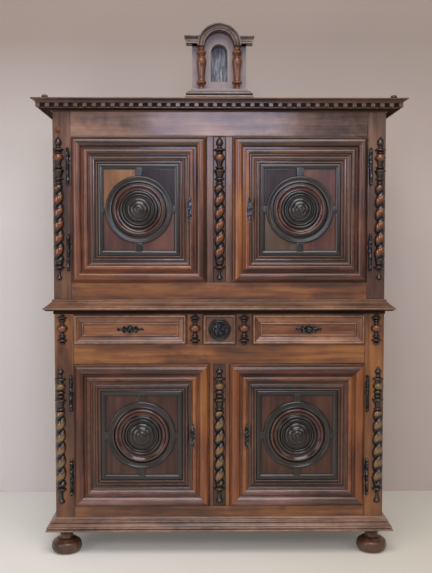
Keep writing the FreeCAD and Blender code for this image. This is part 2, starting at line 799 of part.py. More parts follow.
def twisted_shaft(name, length):
    """A rod whose round section winds round its axis, set out level by level."""
    turns = value_of(length) / value_of(s.twist_pitch)
    steps = round(turns * STEPS_PER_TWIST)
    outlines = []
    for step in range(steps + 1):
        phase = 2 * math.pi * turns * step / steps
        place = (s.twist_throw * round(math.cos(phase), 4), s.twist_throw * round(math.sin(phase), 4),
                 length * (step / steps))
        outline = document.addObject("Part::RegularPolygon", "%s_level_%d" % (name, step))
        outline.Polygon = COLUMN_SIDES
        bind(outline, "Circumradius", s.column_radius - s.twist_throw)
        outlines.append(set_down(outline, place))
    rod = document.addObject("Part::Loft", name)
    rod.Sections = outlines
    rod.Solid = True
    rod.Ruled = True
    rod.Linearize = True
    return rod


def half_column(name, length, head_shares, head_length):
    """A split column: a turned foot, a twisted shaft and a turned head, flat at the back."""
    shaft_length = length - head_length - s.column_foot
    foot = split_turning(name + "_foot", scaled(FOOT_END_SHARES, s.column_radius, s.column_foot), COLUMN_SIDES)
    head = split_turning(name + "_head", scaled(head_shares, s.column_radius, head_length), COLUMN_SIDES)
    set_down(head, (0, 0, s.column_foot + shaft_length))
    shaft = twisted_shaft(name + "_rod", shaft_length)
    reach = s.column_radius + s.cut_overrun
    front_half = block(name + "_front_half", (-reach, reach), (-reach, 0), (0, shaft_length))
    split = combined("Common", name + "_shaft", shaft, front_half)
    set_down(split, (0, 0, s.column_foot))
    return fused(name, [foot, split, head])


def make_half_columns():
    inset = HALF - s.column_inset
    cases = (
        ("upper", UPPER_DOORS_LOW + s.upper_column_foot_gap, UPPER_DOORS_HIGH - s.upper_column_head_gap,
         UPPER_HEAD_SHARES, s.upper_column_head),
        ("lower", LOWER_DOORS_LOW + s.lower_column_foot_gap, LOWER_DOORS_HIGH - s.lower_column_head_gap,
         LOWER_HEAD_SHARES, s.lower_column_head),
    )
    for case, low, high, head_shares, head_length in cases:
        column = half_column(case + "_column", high - low, head_shares, head_length)
        places = (("left", -inset, FRONT), ("centre", 0, FRONT + s.channel_depth), ("right", inset, FRONT))
        copies = [copy_of(column, "%s_column_%s" % (case, side), (across, depth, low))
                  for side, across, depth in places]
        node(case + "_half_columns", copies)


def make_spindles():
    spindle = split_turning("drawer_spindle",
                            scaled(SPINDLE_SHARES, s.spindle_radius, s.drawer_opening_height), COLUMN_SIDES)
    outer = HALF - s.spindle_inset
    inner = (s.centre_opening_width + s.divider_width) / 2
    copies = [copy_of(spindle, "drawer_spindle_%d" % number, (across, FRONT, DRAWERS_LOW))
              for number, across in enumerate((-outer, -inner, inner, outer))]
    node("drawer_spindles", copies)


def keyhole(radius, length):
    """A round top over a narrow slot, drawn about the middle of the round."""
    right = [(radius * KEYHOLE_SHARES[0][0], -length)] + scaled(KEYHOLE_SHARES, radius, radius)
    left = [(-across, up) for across, up in right[-2::-1]]
    return right + left


def hinge_halves(name, turn_side):
    """A pintle and its socket, about the axis of the pin, for a door to the given side.

    The pintle's tail reaches back to the stile; the socket's leaf reaches the door's edge.
    """
    barrel = prism(name + "_lower_barrel", s.barrel_radius, s.barrel_length)
    set_down(barrel, (0, 0, -s.barrel_length))
    tip = prism(name + "_lower_tip", s.finial_radius, s.finial_length)
    set_down(tip, (0, 0, -s.barrel_length - s.finial_length))
    tail = block(name + "_tail", (-s.tail_width / 2, s.tail_width / 2), (0, s.hinge_stand),
                 (-s.leaf_height, 0))
    pin = prism(name + "_pin", s.pin_radius, s.pin_length)
    pintle = fused(name + "_pintle", [barrel, tip, tail, pin])
    shell = prism(name + "_upper_barrel", s.barrel_radius, s.barrel_length)
    set_down(shell, (0, 0, s.hinge_gap))
    cap = prism(name + "_upper_tip", s.finial_radius, s.finial_length)
    set_down(cap, (0, 0, s.hinge_gap + s.barrel_length))
    reach = s.hinge_offset + s.door_clearance
    span = (0, reach) if turn_side > 0 else (-reach, 0)
    near = s.hinge_stand - s.leaf_stand
    leaf = block(name + "_leaf", span, (near - s.leaf_thickness, near), (s.hinge_gap, s.hinge_gap + s.leaf_height))
    bore = prism(name + "_bore", s.pin_radius + s.pin_clearance, s.pin_length + s.pin_clearance)
    socket = combined("Cut", name + "_socket", fused(name + "_shell", [shell, cap, leaf]), bore)
    return pintle, socket


def prism(name, radius, height, sides=IRON_SIDES):
    item = document.addObject("Part::Prism", name)
    item.Polygon = sides
    bind(item, "Circumradius", radius)
    bind(item, "Height", height)
    return item


def door_sections():
    """The two sections that every door's mouldings are cut from."""
    face = scaled(chorded(DOOR_FRAME_SHARES), s.door_frame_width, s.door_proud, 0, s.door_thickness)
    frame = section_sketch("door_frame_section", [(0, 0), (s.door_frame_width, 0)] + face)
    inner = section_sketch("door_inner_section",
                           scaled(chorded(INNER_MOULDING_SHARES), s.inner_moulding_width,
                                  s.inner_moulding_height))
    return frame, inner


def door_lock(name, side, edge, level):
    """The lock on the door's back and its bolt, which shoots past the back of the centre stile."""
    back = FRONT + s.door_thickness
    near = edge - s.lock_setback * side
    case = block(name + "_case", between(near - s.lock_width * side, near), (back, back + s.lock_depth),
                 (level - s.lock_height / 2, level + s.lock_height / 2))
    spare = s.bolt_clearance
    bolt_low = level - s.bolt_height / 2
    bolt_front = back + s.bolt_stand
    bolt_end = near - s.bolt_length * side
    channel = block(name + "_channel", between(bolt_end - spare * side, near + s.cut_overrun * side),
                    (bolt_front - spare, bolt_front + s.bolt_thickness + spare),
                    (bolt_low - spare, bolt_low + s.bolt_height + spare))
    bolt = block(name + "_bolt_bar", between(bolt_end, near), (bolt_front, bolt_front + s.bolt_thickness),
                 (bolt_low, bolt_low + s.bolt_height))
    return combined("Cut", name + "_lock", case, channel), bolt


def door_ring(name, ring_radius, half_field_width, half_field_height):
    """The dark ring round the boss, in one piece with the four ears that tie it to the frame."""
    inner_radius = ring_radius - s.ring_width
    outline = scaled(chorded(RING_SHARES, TURNED_ARC_SIDES), s.ring_width, s.ring_height, inner_radius, 0)
    whole = turning(name + "_round", outline, WIDE_SIDES)
    ring = combined("Cut", name + "_open_round", whole,
                    prism(name + "_round_hole", inner_radius, s.ring_height, WIDE_SIDES))
    set_down(ring, (0, 0, 0), FACE_FRONT)
    inside = ring_radius - s.ring_width / 2
    depth = (-s.ear_depth, 0)
    half_ear = s.ear_width / 2
    ears = mirrored_blocks(name + "_side_ear", (inside, half_field_width), depth, (-half_ear, half_ear))
    ears.append(block(name + "_top_ear", (-half_ear, half_ear), depth, (inside, half_field_height)))
    ears.append(block(name + "_bottom_ear", (-half_ear, half_ear), depth, (-half_field_height, -inside)))
    return fused(name + "_ring", [ring] + ears)


def make_door(case, hand, sections, hinges, span, level, boss_gap):
    """One door with its mouldings, panel, boss, ironwork and bolt."""
    name = "%s_%s_door" % (case, hand)
    side = 1 if hand == "left" else -1
    (left, right), (low, high) = span, level
    left, right = left + s.door_clearance, right - s.door_clearance
    low, high = low + s.door_clearance, high - s.door_clearance
    width, height = right - left, high - low
    middle, centre = (left + right) / 2, (low + high) / 2
    back = FRONT + s.door_thickness
    frame_section, inner_section = sections
    node(name + "_frame", picture_frame(name + "_frame_length", frame_section, (left, low), (width, height), back,
                                        s.door_frame_width, s.door_thickness + s.door_proud))
    field = FRONT + s.field_sinking
    edge = s.door_frame_width
    lengths = picture_frame(name + "_inner_length", inner_section, (left + edge, low + edge),
                            (width - edge * 2, height - edge * 2), field,
                            s.inner_moulding_width, s.inner_moulding_height)
    field_edge = edge + s.inner_moulding_width * INNER_MOULDING_SHARES[1][0]
    half_field_width, half_field_height = width / 2 - field_edge, height / 2 - field_edge
    ring_radius = least(half_field_width, half_field_height) - s.ear_reach
    ring = door_ring(name, ring_radius, half_field_width, half_field_height)
    node(name + "_moulding", lengths + [set_down(ring, (middle, field, centre))])
    node(name + "_panel", [block(name + "_board", (left + edge, right - edge),
                                 (field, field + s.door_panel_thickness), (low + edge, high - edge))])
    boss_radius = ring_radius - s.ring_width - boss_gap
    boss = turning(name + "_boss_turning", turned_outline(BOSS_SHARES, boss_radius, s.boss_height), WIDE_SIDES)
    node(name + "_boss", [set_down(boss, (middle, field, centre), FACE_FRONT)])
    hinge_edge, free_edge = (left, right) if side > 0 else (right, left)
    axis = hinge_edge - (s.hinge_offset + s.door_clearance) * side
    pintle, socket = hinges[hand]
    iron, pintles = [], []
    for number, rise in enumerate((low + s.hinge_inset, high - s.hinge_inset)):
        place = (axis, FRONT - s.hinge_stand, rise)
        iron.append(copy_of(socket, "%s_socket_%d" % (name, number), place))
        pintles.append(copy_of(pintle, "%s_pintle_%d" % (name, number), place))
    lock, bolt = door_lock(name, side, free_edge, centre)
    shield_place = (free_edge - s.escutcheon_inset * side, FRONT - s.door_proud * DOOR_FRAME_SHARES[1][1], centre)
    iron += [lock, copy_of(hinges["escutcheon"], name + "_escutcheon", shield_place)]
    node(name + "_ironwork", iron)
    node(name + "_bolt", [bolt])
    return pintles


def make_doors():
    sections = door_sections()
    escutcheon = plate("escutcheon", four_fold(ESCUTCHEON_SHARES, s.escutcheon_width / 2, s.escutcheon_height / 2),
                       s.escutcheon_thickness, [keyhole(s.keyhole_radius, s.keyhole_length)])
    hinges = {"left": hinge_halves("left_hinge", 1), "right": hinge_halves("right_hinge", -1),
              "escutcheon": escutcheon}
    cases = (
        ("lower", s.lower_stile_width, s.lower_centre_stile_width, (LOWER_DOORS_LOW, LOWER_DOORS_HIGH),
         s.lower_boss_gap),
        ("upper", s.upper_stile_width, s.upper_centre_stile_width, (UPPER_DOORS_LOW, UPPER_DOORS_HIGH),
         s.upper_boss_gap),
    )
    pintles = []
    for case, stile, centre, level, boss_gap in cases:
        near, far = centre / 2, HALF - stile
        pintles += make_door(case, "left", sections, hinges, (-far, -near), level, boss_gap)
        pintles += make_door(case, "right", sections, hinges, (near, far), level, boss_gap)
    node("hinge_pintles", pintles)


def make_drawer(name, span, moulding_width):
    """A drawer with a moulded front and a plain box of boards behind it."""
    left, right = span[0] + s.drawer_clearance, span[1] - s.drawer_clearance
    low, high = DRAWERS_LOW + s.drawer_lift, DRAWERS_HIGH - s.drawer_clearance
    face = FRONT
    back = face + s.drawer_front_thickness
    board = block(name + "_front_board", (left, right), (face, back), (low, high))
    section = section_sketch(name + "_section",
                             scaled(chorded(DRAWER_MOULDING_SHARES), moulding_width, s.drawer_moulding_height))
    lengths = picture_frame(name + "_front_length", section, (left, low), (right - left, high - low), face,
                            moulding_width, s.drawer_moulding_height)
    node(name + "_front", [board] + lengths)
    end = back + s.drawer_box_length
    thick = s.drawer_board_thickness
    top = low + s.drawer_side_height
    floor = low + s.drawer_bottom_rise
    sides = [block(name + "_left_side", (left, left + thick), (back, end), (low, top)),
             block(name + "_right_side", (right - thick, right), (back, end), (low, top))]
    rear = block(name + "_rear", (left + thick, right - thick), (end - thick, end), (floor, top))
    bottom = block(name + "_bottom", (left + thick, right - thick), (back, end - thick),
                   (floor, floor + s.drawer_bottom_thickness))
    node(name + "_box", sides + [rear, bottom])
    return (left + right) / 2, (low + high) / 2


def make_drawers():
    inner = s.centre_opening_width / 2 + s.divider_width
    outer = HALF - s.lower_stile_width
    backplate = plate("pull_backplate", four_fold(PULL_SHARES, s.pull_plate_length / 2, s.pull_plate_height / 2),
                      s.pull_plate_thickness)
    knob = turning("pull_knob", turned_outline(KNOB_SHARES, s.knob_radius, s.knob_length), COLUMN_SIDES)
    for name, span in (("left_drawer", (-outer, -inner)), ("right_drawer", (inner, outer))):
        middle, centre = make_drawer(name, span, s.drawer_moulding_width)
        face = FRONT
        stem = face - s.pull_plate_thickness
        node(name + "_pull", [copy_of(backplate, name + "_backplate", (middle, face, centre)),
                              copy_of(knob, name + "_knob", (middle, stem, centre), FACE_FRONT)])
    middle, centre = make_drawer("centre_drawer", (-s.centre_opening_width / 2, s.centre_opening_width / 2),
                                 s.centre_drawer_moulding_width)
    boss = turning("centre_drawer_boss_turning",
                   turned_outline(CENTRE_BOSS_SHARES, s.centre_boss_radius, s.centre_boss_height), WIDE_SIDES)
    node("centre_drawer_boss", [set_down(boss, (middle, FRONT, centre), FACE_FRONT)])
    disc_face = FRONT - s.centre_boss_height * CENTRE_BOSS_SHARES[-1][1]
    disc = plate("centre_drawer_disc", round_outline(s.keyhole_disc_radius, WIDE_SIDES), s.keyhole_disc_thickness,
                 [keyhole(s.keyhole_radius, s.keyhole_length)])
    set_down(disc, (middle, disc_face, centre))
    case, bolt = drawer_lock(middle)
    node("centre_drawer_lock", [disc, case])
    node("centre_drawer_bolt", [bolt])


def drawer_lock(middle):
    """The lock behind the centre drawer's front; its bolt rises behind the rail above."""
    back = FRONT + s.drawer_front_thickness
    top = DRAWERS_HIGH - s.drawer_clearance - s.drawer_lock_drop
    half_width = s.drawer_lock_width / 2
    case = block("drawer_lock_case", (middle - half_width, middle + half_width),
                 (back, back + s.drawer_lock_depth), (top - s.drawer_lock_height, top))
    half_bolt = s.drawer_bolt_width / 2
    bolt_front = back + (s.drawer_lock_depth - s.drawer_bolt_thickness) / 2
    bolt = block("drawer_bolt_bar", (middle - half_bolt, middle + half_bolt),
                 (bolt_front, bolt_front + s.drawer_bolt_thickness), (top - s.drawer_bolt_length, top))
    spare = s.bolt_clearance
    channel = block("drawer_bolt_channel", (middle - half_bolt - spare, middle + half_bolt + spare),
                    (bolt_front - spare, bolt_front + s.drawer_bolt_thickness + spare),
                    (top - s.drawer_bolt_length - spare, top + s.cut_overrun))
    return combined("Cut", "drawer_lock_shell", case, channel), bolt


def make_niche():
    front = FRONT + s.niche_setback
    rear = front + s.niche_base_depth
    half_base = s.niche_base_width / 2
    tread = s.niche_base_height / 2
    lower = block("niche_lower_step", (-half_base, half_base), (front, rear), (TOP, TOP + tread))
    upper = block("niche_upper_step", (s.niche_step - half_base, half_base - s.niche_step),
                  (front + s.niche_step, rear), (TOP + tread, TOP + s.niche_base_height))
    node("niche_base", [lower, upper])
    foot = TOP + s.niche_base_height
    level = foot + s.niche_plinth_height
    board_front = front + s.niche_board_setback
    depth = board_front - s.colonnette_radius - s.colonnette_gap
    board_back = board_front + s.niche_board_depth
    half_plinth = s.niche_board_width / 2 + s.niche_plinth_margin
    plinth = block("niche_plinth", (-half_plinth, half_plinth),
                   (depth - s.colonnette_radius, board_back), (foot, level))
    board = niche_board()
    node("niche_board", [set_down(board, (0, board_back, level)), plinth])
    colonnette = turning("niche_colonnette",
                         scaled(COLONNETTE_SHARES, s.colonnette_radius, s.colonnette_height), COLUMN_SIDES)
    node("niche_colonnettes", [
        copy_of(colonnette, "niche_colonnette_right", (s.colonnette_spacing, depth, level)),
        copy_of(colonnette, "niche_colonnette_left", (-s.colonnette_spacing, depth, level)),
    ])
    pediment_level = level + s.colonnette_height
    pediment = fused("niche_pediment_bands", pediment_bands())
    set_down(pediment, (0, board_back, pediment_level))
    node("niche_pediment", [pediment])


def niche_board():
    """The block behind the colonnettes, arched at the top, with an arched recess cut in it."""
    board = document.addObject("PartDesign::Body", "niche_board_block")
    half_board = s.niche_board_width / 2
    shoulder = s.colonnette_height
    outline = [(-half_board, 0), (half_board, 0), (half_board, shoulder)]
    outline += half_round(s.arch_radius, shoulder) + [(-half_board, shoulder)]
    pad = board.newObject("PartDesign::Pad", "niche_board_pad")
    pad.Profile = body_sketch(board, "niche_board_outline", "XZ_Plane", outline)
    bind(pad, "Length", s.niche_board_depth)
    half_recess = s.recess_width / 2
    spring = s.recess_rise + s.recess_height - half_recess
    arch = [(-half_recess, s.recess_rise), (half_recess, s.recess_rise)] + half_round(half_recess, spring)
    outline = body_sketch(board, "niche_recess_outline", "XZ_Plane", arch)
    bind(outline, "AttachmentOffset.Base.z", s.niche_board_depth)
    pocket = board.newObject("PartDesign::Pocket", "niche_recess")
    pocket.Profile = outline
    bind(pocket, "Length", s.recess_depth)
    return board


def half_ring(name, inner, outer, depth):
    """A half ring that stands on its two feet and faces the front."""
    return plate(name, half_round(outer, 0) + half_round(inner, 0)[::-1], depth)


def pediment_bands():
    """Two stepped bands, level over the colonnettes and arched over the niche."""
    crown_depth = s.niche_board_depth + s.pediment_overhang
    band_depth = crown_depth - s.pediment_band_step
    band_radius = s.arch_radius + s.pediment_band_ring
    crown_radius = band_radius + s.pediment_crown_ring
    half_crown = s.pediment_width / 2
    half_band = half_crown - s.pediment_band_step
    crown_top = s.pediment_band_height + s.pediment_crown_height
    pieces = [half_ring("pediment_band_ring", s.arch_radius, band_radius, band_depth),
              half_ring("pediment_crown_ring", band_radius, crown_radius, crown_depth)]
    pieces += mirrored_blocks("pediment_band_arm", ((s.arch_radius + band_radius) / 2, half_band),
                              (-band_depth, 0), (0, s.pediment_band_height))
    pieces += mirrored_blocks("pediment_crown_arm", (band_radius, half_crown),
                              (-crown_depth, 0), (s.pediment_band_height, crown_top))
    return pieces


def check_pieces():
    """Stops if any object failed to build, or any node is not made of sound solids."""
    faults = [item.Name for item in document.Objects
              if any(word in item.State for word in ("Invalid", "Error"))]
    for item in node_list:
        if item.Shape.isNull() or not item.Shape.isValid() or not item.Shape.Solids:
            faults.append(item.Label + " has no sound solid")
    if faults:
        raise RuntimeError("these pieces failed: " + ", ".join(faults))


def write_pieces():
    os.makedirs("parts", exist_ok=True)
    for item in node_list:
        item.Shape.exportStep("parts/%s.step" % item.Label)


make_feet()
make_lower_case()
make_drawer_dividers()
make_upper_case()
make_mouldings()
make_half_columns()
make_spindles()
make_doors()
make_drawers()
make_niche()
document.recompute()
check_pieces()
write_pieces()
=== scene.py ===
"""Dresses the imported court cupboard: waxed walnut, ebonised mouldings, black iron and a greyed niche.

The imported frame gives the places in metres: X runs to the right, Y to the back and Z up. Outlines
are written in millimetres, as a joiner would note them, and are turned to metres where they are cut.
"""

from __future__ import annotations

import logging
import math
from dataclasses import dataclass, field
from enum import Enum, StrEnum
from typing import ClassVar, Iterable, Sequence

import bmesh
import bpy
from mathutils import Matrix, Vector

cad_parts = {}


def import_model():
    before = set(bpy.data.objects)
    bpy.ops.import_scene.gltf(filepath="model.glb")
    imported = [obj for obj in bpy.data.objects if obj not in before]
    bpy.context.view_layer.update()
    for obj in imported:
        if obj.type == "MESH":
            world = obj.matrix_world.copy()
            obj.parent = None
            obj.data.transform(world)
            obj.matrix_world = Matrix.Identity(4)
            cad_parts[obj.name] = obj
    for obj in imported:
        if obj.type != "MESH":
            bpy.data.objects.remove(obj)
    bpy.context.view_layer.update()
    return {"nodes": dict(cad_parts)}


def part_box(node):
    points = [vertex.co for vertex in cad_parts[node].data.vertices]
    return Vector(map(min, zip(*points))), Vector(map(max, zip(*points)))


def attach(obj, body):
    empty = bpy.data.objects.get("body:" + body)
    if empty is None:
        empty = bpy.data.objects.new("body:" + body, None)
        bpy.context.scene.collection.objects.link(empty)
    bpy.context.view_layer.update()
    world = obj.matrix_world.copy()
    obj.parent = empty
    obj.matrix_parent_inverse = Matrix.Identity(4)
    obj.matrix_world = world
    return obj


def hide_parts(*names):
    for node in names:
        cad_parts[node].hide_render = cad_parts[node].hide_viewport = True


log = logging.getLogger("cupboard")

# A row of an outline is across and up in millimetres, with an arc's rise where one starts.
Row = tuple[float, ...]
Flat = tuple[float, float]
Corner = tuple[float, float, float]

MM = 0.001
# The gap round every door and drawer, and how thick the front frame is.
CLEARANCE = 1.5 * MM
FRAME_THICKNESS = 28 * MM
# How far a duster reaches along an outline, and the step that counts as fully rubbed, in millimetres; the same
# values set the painted shade in hollows and the painted highlight on crests.
BROAD_WEAR_MM: Flat = (9, 7)
FINE_WEAR_MM: Flat = (6, 4)


class Case(StrEnum):
    """The two cases, as the frame's names begin."""

    LOWER = "lower"
    UPPER = "upper"


class Side(StrEnum):
    """Where a door or a drawer is, as seen from the front."""

    LEFT = "left"
    CENTRE = "centre"
    RIGHT = "right"


class Quarter(StrEnum):
    """The four fields of a veneered panel."""

    TOP_LEFT = "top_left"
    TOP_RIGHT = "top_right"
    BOTTOM_LEFT = "bottom_left"
    BOTTOM_RIGHT = "bottom_right"


class Along(Enum):
    """Which of a piece's own directions the fibres follow, first, and the two across them."""

    LENGTH = (0, 1, 2)
    DEPTH = (1, 0, 2)
    HEIGHT = (2, 0, 1)


class Member(Enum):
    """The four members of a door's frame, in the order in which they are mitred."""

    BOTTOM = 0
    RIGHT = 1
    TOP = 2
    LEFT = 3


class Slot(Enum):
    """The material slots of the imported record."""

    WALNUT = "walnut"
    GOLDEN = "golden_walnut"
    TURNED = "turned_walnut"
    EBONY = "ebonised_wood"
    NICHE = "niche_walnut"
    PAINT = "niche_paint"
    OAK = "inner_oak"
    IRON = "wrought_iron"


def linear(code: str) -> tuple[float, float, float, float]:
    """Turns a written colour to the linear values that the shaders take.

    Args:
        code: an sRGB colour such as "#6b4a33".

    Returns:
        Red, green, blue and an alpha of one.
    """
    shares = [int(code[start:start + 2], 16) / 255 for start in (1, 3, 5)]
    red, green, blue = [s / 12.92 if s <= 0.04045 else ((s + 0.055) / 1.055) ** 2.4 for s in shares]
    return red, green, blue, 1.0


def add_node(tree: bpy.types.NodeTree, kind: str, inputs: dict | None = None,
             stops: Sequence[tuple[float, str]] = (), **settings: object) -> bpy.types.Node:
    """Adds one shader node with its settings and links.

    Args:
        tree: the material's or the world's node tree.
        kind: the node's type name, without the word ShaderNode before it.
        inputs: values or output sockets, by the input's name or number.
        stops: places and colours, where the node is a colour ramp.
        settings: the node's own properties.

    Returns:
        The new node.
    """
    node = tree.nodes.new("ShaderNode" + kind)
    for name, value in settings.items():
        setattr(node, name, value)
    for place, value in (inputs or {}).items():
        if isinstance(value, bpy.types.NodeSocket):
            tree.links.new(value, node.inputs[place])
        else:
            node.inputs[place].default_value = value
    for number, (position, code) in enumerate(stops):
        element = node.color_ramp.elements[number] if number < 2 else node.color_ramp.elements.new(position)
        element.position = position
        element.color = linear(code)
    return node


def blank_material(name: str) -> tuple[bpy.types.Material, bpy.types.NodeTree]:
    """Makes an empty material with a node tree.

    Args:
        name: the material's name.

    Returns:
        The material and its tree.
    """
    material = bpy.data.materials.new(name)
    material.use_nodes = True
    material.node_tree.nodes.clear()
    return material, material.node_tree


def stretched(length_mm: float, width_mm: float) -> Corner:
    """The scales that draw a pattern out along the fibres, from the size of one of its streaks."""
    return 1 / (length_mm * MM), 1 / (width_mm * MM), 1 / (width_mm * MM)


@dataclass(frozen=True)
class WaxedWood:
    """Old cabinet wood, planed or turned, with many coats of wax rubbed in.

    The eye sees soft clouds of colour with fine long fibres, near-black grime and painted shade where the
    duster does not reach, and clearer, glossier wood with a painted highlight on the crests that hands and
    dusters rub.
    """

    name: str
    dark: str
    middle: str
    pale: str
    # The grime colour darkens pores, blots and hollows, where it is also painted shade; the rubbed colour on
    # crests is also a painted highlight.
    grime_and_shade: str
    rubbed: str
    cloud_mm: float = 190.0
    band_mm: float = 24.0
    fibre_mm: float = 2.4
    fibre_length_mm: float = 110.0
    stain: float = 0.6
    pores: float = 0.42
    patches: float = 0.4
    roughness: float = 0.36
    wear: float = 1.0
    wax: float = 0.35
    wax_roughness: float = 0.18
    wave_mm: float = 60.0
    wave_height_mm: float = 0.5
    gloss: float = 0.5
    tone_base: ClassVar[float] = -0.95
    tone_shares: ClassVar[Row] = (1.3, 0.95, 0.65)
    cloud_length: ClassVar[float] = 2.0
    band_length: ClassVar[float] = 18.0
    blot_length_mm: ClassVar[float] = 142.857143
    blot_mm: ClassVar[float] = 76.923077
    breach_mm: ClassVar[float] = 29.4117647

    def build(self) -> bpy.types.Material:
        """Makes the material.

        Returns:
            The finished material, which reads the pieces' grain places and wear.
        """
        material, tree = blank_material(self.name)
        grain = add_node(tree, "Attribute", attribute_name="grain")
        # The wear brings grime with painted shade into hollows, and rubbed wood with a painted highlight onto
        # crests.
        worn = add_node(tree, "Attribute", attribute_name="wear")
        place = grain.outputs["Vector"]
        clouds = self._drawn_out(tree, place, self.cloud_mm * self.cloud_length, self.cloud_mm)
        bands = self._drawn_out(tree, place, self.band_mm * self.band_length, self.band_mm)
        # Real pores are half a millimetre wide; these are drawn wider so that they show from here.
        fibres = self._drawn_out(tree, place, self.fibre_length_mm, self.fibre_mm)
        tone = self.tone_base
        for pattern, share in zip((clouds, bands, fibres), self.tone_shares):
            tone = add_node(tree, "Math", {0: pattern, 1: share, 2: tone},
                            operation="MULTIPLY_ADD").outputs[0]
        colour = add_node(tree, "ValToRGB", {"Fac": tone},
                          stops=((0.24, self.dark), (0.76, self.pale), (0.5, self.middle)))
        marked = self._marks(tree, place, fibres, colour.outputs["Color"])
        worn_and_shaded_colour, dull = self._worn_and_shaded(tree, worn.outputs["Fac"], place, marked)
        rough = add_node(tree, "Math", {0: dull, 1: 0.28, 2: self.roughness}, operation="MULTIPLY_ADD")
        skin = add_node(tree, "BsdfPrincipled", {
            "Base Color": worn_and_shaded_colour, "Roughness": rough.outputs[0], "IOR": 1.5, "Coat Weight": self.wax,
            "Coat Roughness": self.wax_roughness, "Specular IOR Level": self.gloss,
            "Normal": self._surface(tree, place, fibres),
        })
        add_node(tree, "OutputMaterial", {"Surface": skin.outputs["BSDF"]})
        return material

    def _drawn_out(self, tree: bpy.types.NodeTree, place: bpy.types.NodeSocket, length_mm: float,
                   width_mm: float) -> bpy.types.NodeSocket:
        """A pattern of the wood's growth, stretched along its fibres.

        Args:
            tree: the material's node tree.
            place: the grain place.
            length_mm: how long one streak of it is.
            width_mm: how wide one streak is.

        Returns:
            The pattern, about one half with soft rises and falls.
        """
        squeeze = stretched(length_mm, width_mm)
        drawn = add_node(tree, "VectorMath", {0: place, 1: squeeze}, operation="MULTIPLY")
        streaks = add_node(tree, "TexNoise", {
            "Vector": drawn.outputs[0], "Scale": 1.0, "Detail": 3.0, "Roughness": 0.58, "Distortion": 0.4,
        })
        return streaks.outputs["Fac"]

    def _marks(self, tree: bpy.types.NodeTree, place: bpy.types.NodeSocket, fibres: bpy.types.NodeSocket,
               colour: bpy.types.NodeSocket) -> bpy.types.NodeSocket:
        """Dark pores, and the blots and knots of three centuries.

        Args:
            tree: the material's node tree.
            place: the grain place.
            fibres: the pattern of the fibres.
            colour: the clean wood's colour.

        Returns:
            The colour with its marks.
        """
        pores = add_node(tree, "MapRange", {"Value": fibres, "From Min": 0.55, "From Max": 0.76,
                                            "To Max": self.pores})
        pored = add_node(tree, "Mix", {"Factor": pores.outputs["Result"], 6: colour,
                                       7: linear(self.grime_and_shade)}, data_type="RGBA")
        squeeze = stretched(self.blot_length_mm, self.blot_mm)
        spread = add_node(tree, "VectorMath", {0: place, 1: squeeze}, operation="MULTIPLY")
        blots = add_node(tree, "TexNoise", {
            "Vector": spread.outputs[0], "Scale": 1.0, "Detail": 5.0, "Roughness": 0.66,
        })
        blotted = add_node(tree, "MapRange", {"Value": blots.outputs["Fac"], "From Min": 0.6,
                                              "From Max": 0.74, "To Max": self.stain})
        marked = add_node(tree, "Mix", {"Factor": blotted.outputs["Result"], 6: pored.outputs[2],
                                        7: linear(self.grime_and_shade)}, data_type="RGBA")
        return marked.outputs[2]

    def _worn_and_shaded(self, tree: bpy.types.NodeTree, worn: bpy.types.NodeSocket, place: bpy.types.NodeSocket,
                   colour: bpy.types.NodeSocket) -> tuple[bpy.types.NodeSocket, bpy.types.NodeSocket]:
        """Darkens the hollows with grime and painted shade, and clears the crests with wear and a painted
        highlight, broken up by noise.

        Args:
            tree: the material's node tree.
            worn: how worn each point is, from nought in a groove to one on a crest.
            place: the grain place.
            colour: the clean wood's colour.

        Returns:
            The colour, and how dull the wood is, from one in a groove to below nought on a crest.
        """
        breaks = add_node(tree, "TexNoise", {"Vector": place, "Scale": 1 / (self.breach_mm * MM),
                                             "Detail": 4.0})
        loose = add_node(tree, "Math", {0: breaks.outputs["Fac"], 1: self.patches, 2: worn},
                         operation="MULTIPLY_ADD")
        usual = self.patches / 2
        low = add_node(tree, "MapRange", {"Value": loose.outputs[0], "From Min": usual + 0.46,
                                          "From Max": usual + 0.1, "To Max": self.wear})
        high = add_node(tree, "MapRange", {"Value": loose.outputs[0], "From Min": usual + 0.6,
                                           "From Max": usual + 1.04, "To Max": self.wear})
        dirt_and_shade = add_node(tree, "Mix", {"Factor": low.outputs["Result"], 6: colour,
                                       7: linear(self.grime_and_shade)}, data_type="RGBA")
        clear = add_node(tree, "Mix", {"Factor": high.outputs["Result"], 6: dirt_and_shade.outputs[2],
                                       7: linear(self.rubbed)}, data_type="RGBA")
        dull = add_node(tree, "Math", {0: low.outputs["Result"], 1: high.outputs["Result"]},
                        operation="SUBTRACT")
        return clear.outputs[2], dull.outputs[0]

    def _surface(self, tree: bpy.types.NodeTree, place: bpy.types.NodeSocket,
                 fibres: bpy.types.NodeSocket) -> bpy.types.NodeSocket:
        """The hand plane's long waves, with the pores sunk into them.

        Args:
            tree: the material's node tree.
            place: the grain place.
            fibres: the pattern of the fibres.

        Returns:
            The surface's direction at each point.
        """
        waves = add_node(tree, "TexNoise", {"Vector": place, "Scale": 1 / (self.wave_mm * MM),
                                            "Detail": 2.0})
        broad = add_node(tree, "Bump", {"Height": waves.outputs["Fac"], "Strength": 0.6,
                                        "Distance": self.wave_height_mm * MM * 4})
        sunk = add_node(tree, "Bump", {
            "Height": fibres, "Strength": self.pores / 2, "Distance": MM / 2,
            "Normal": broad.outputs["Normal"],
        }, invert=True)
        return sunk.outputs["Normal"]


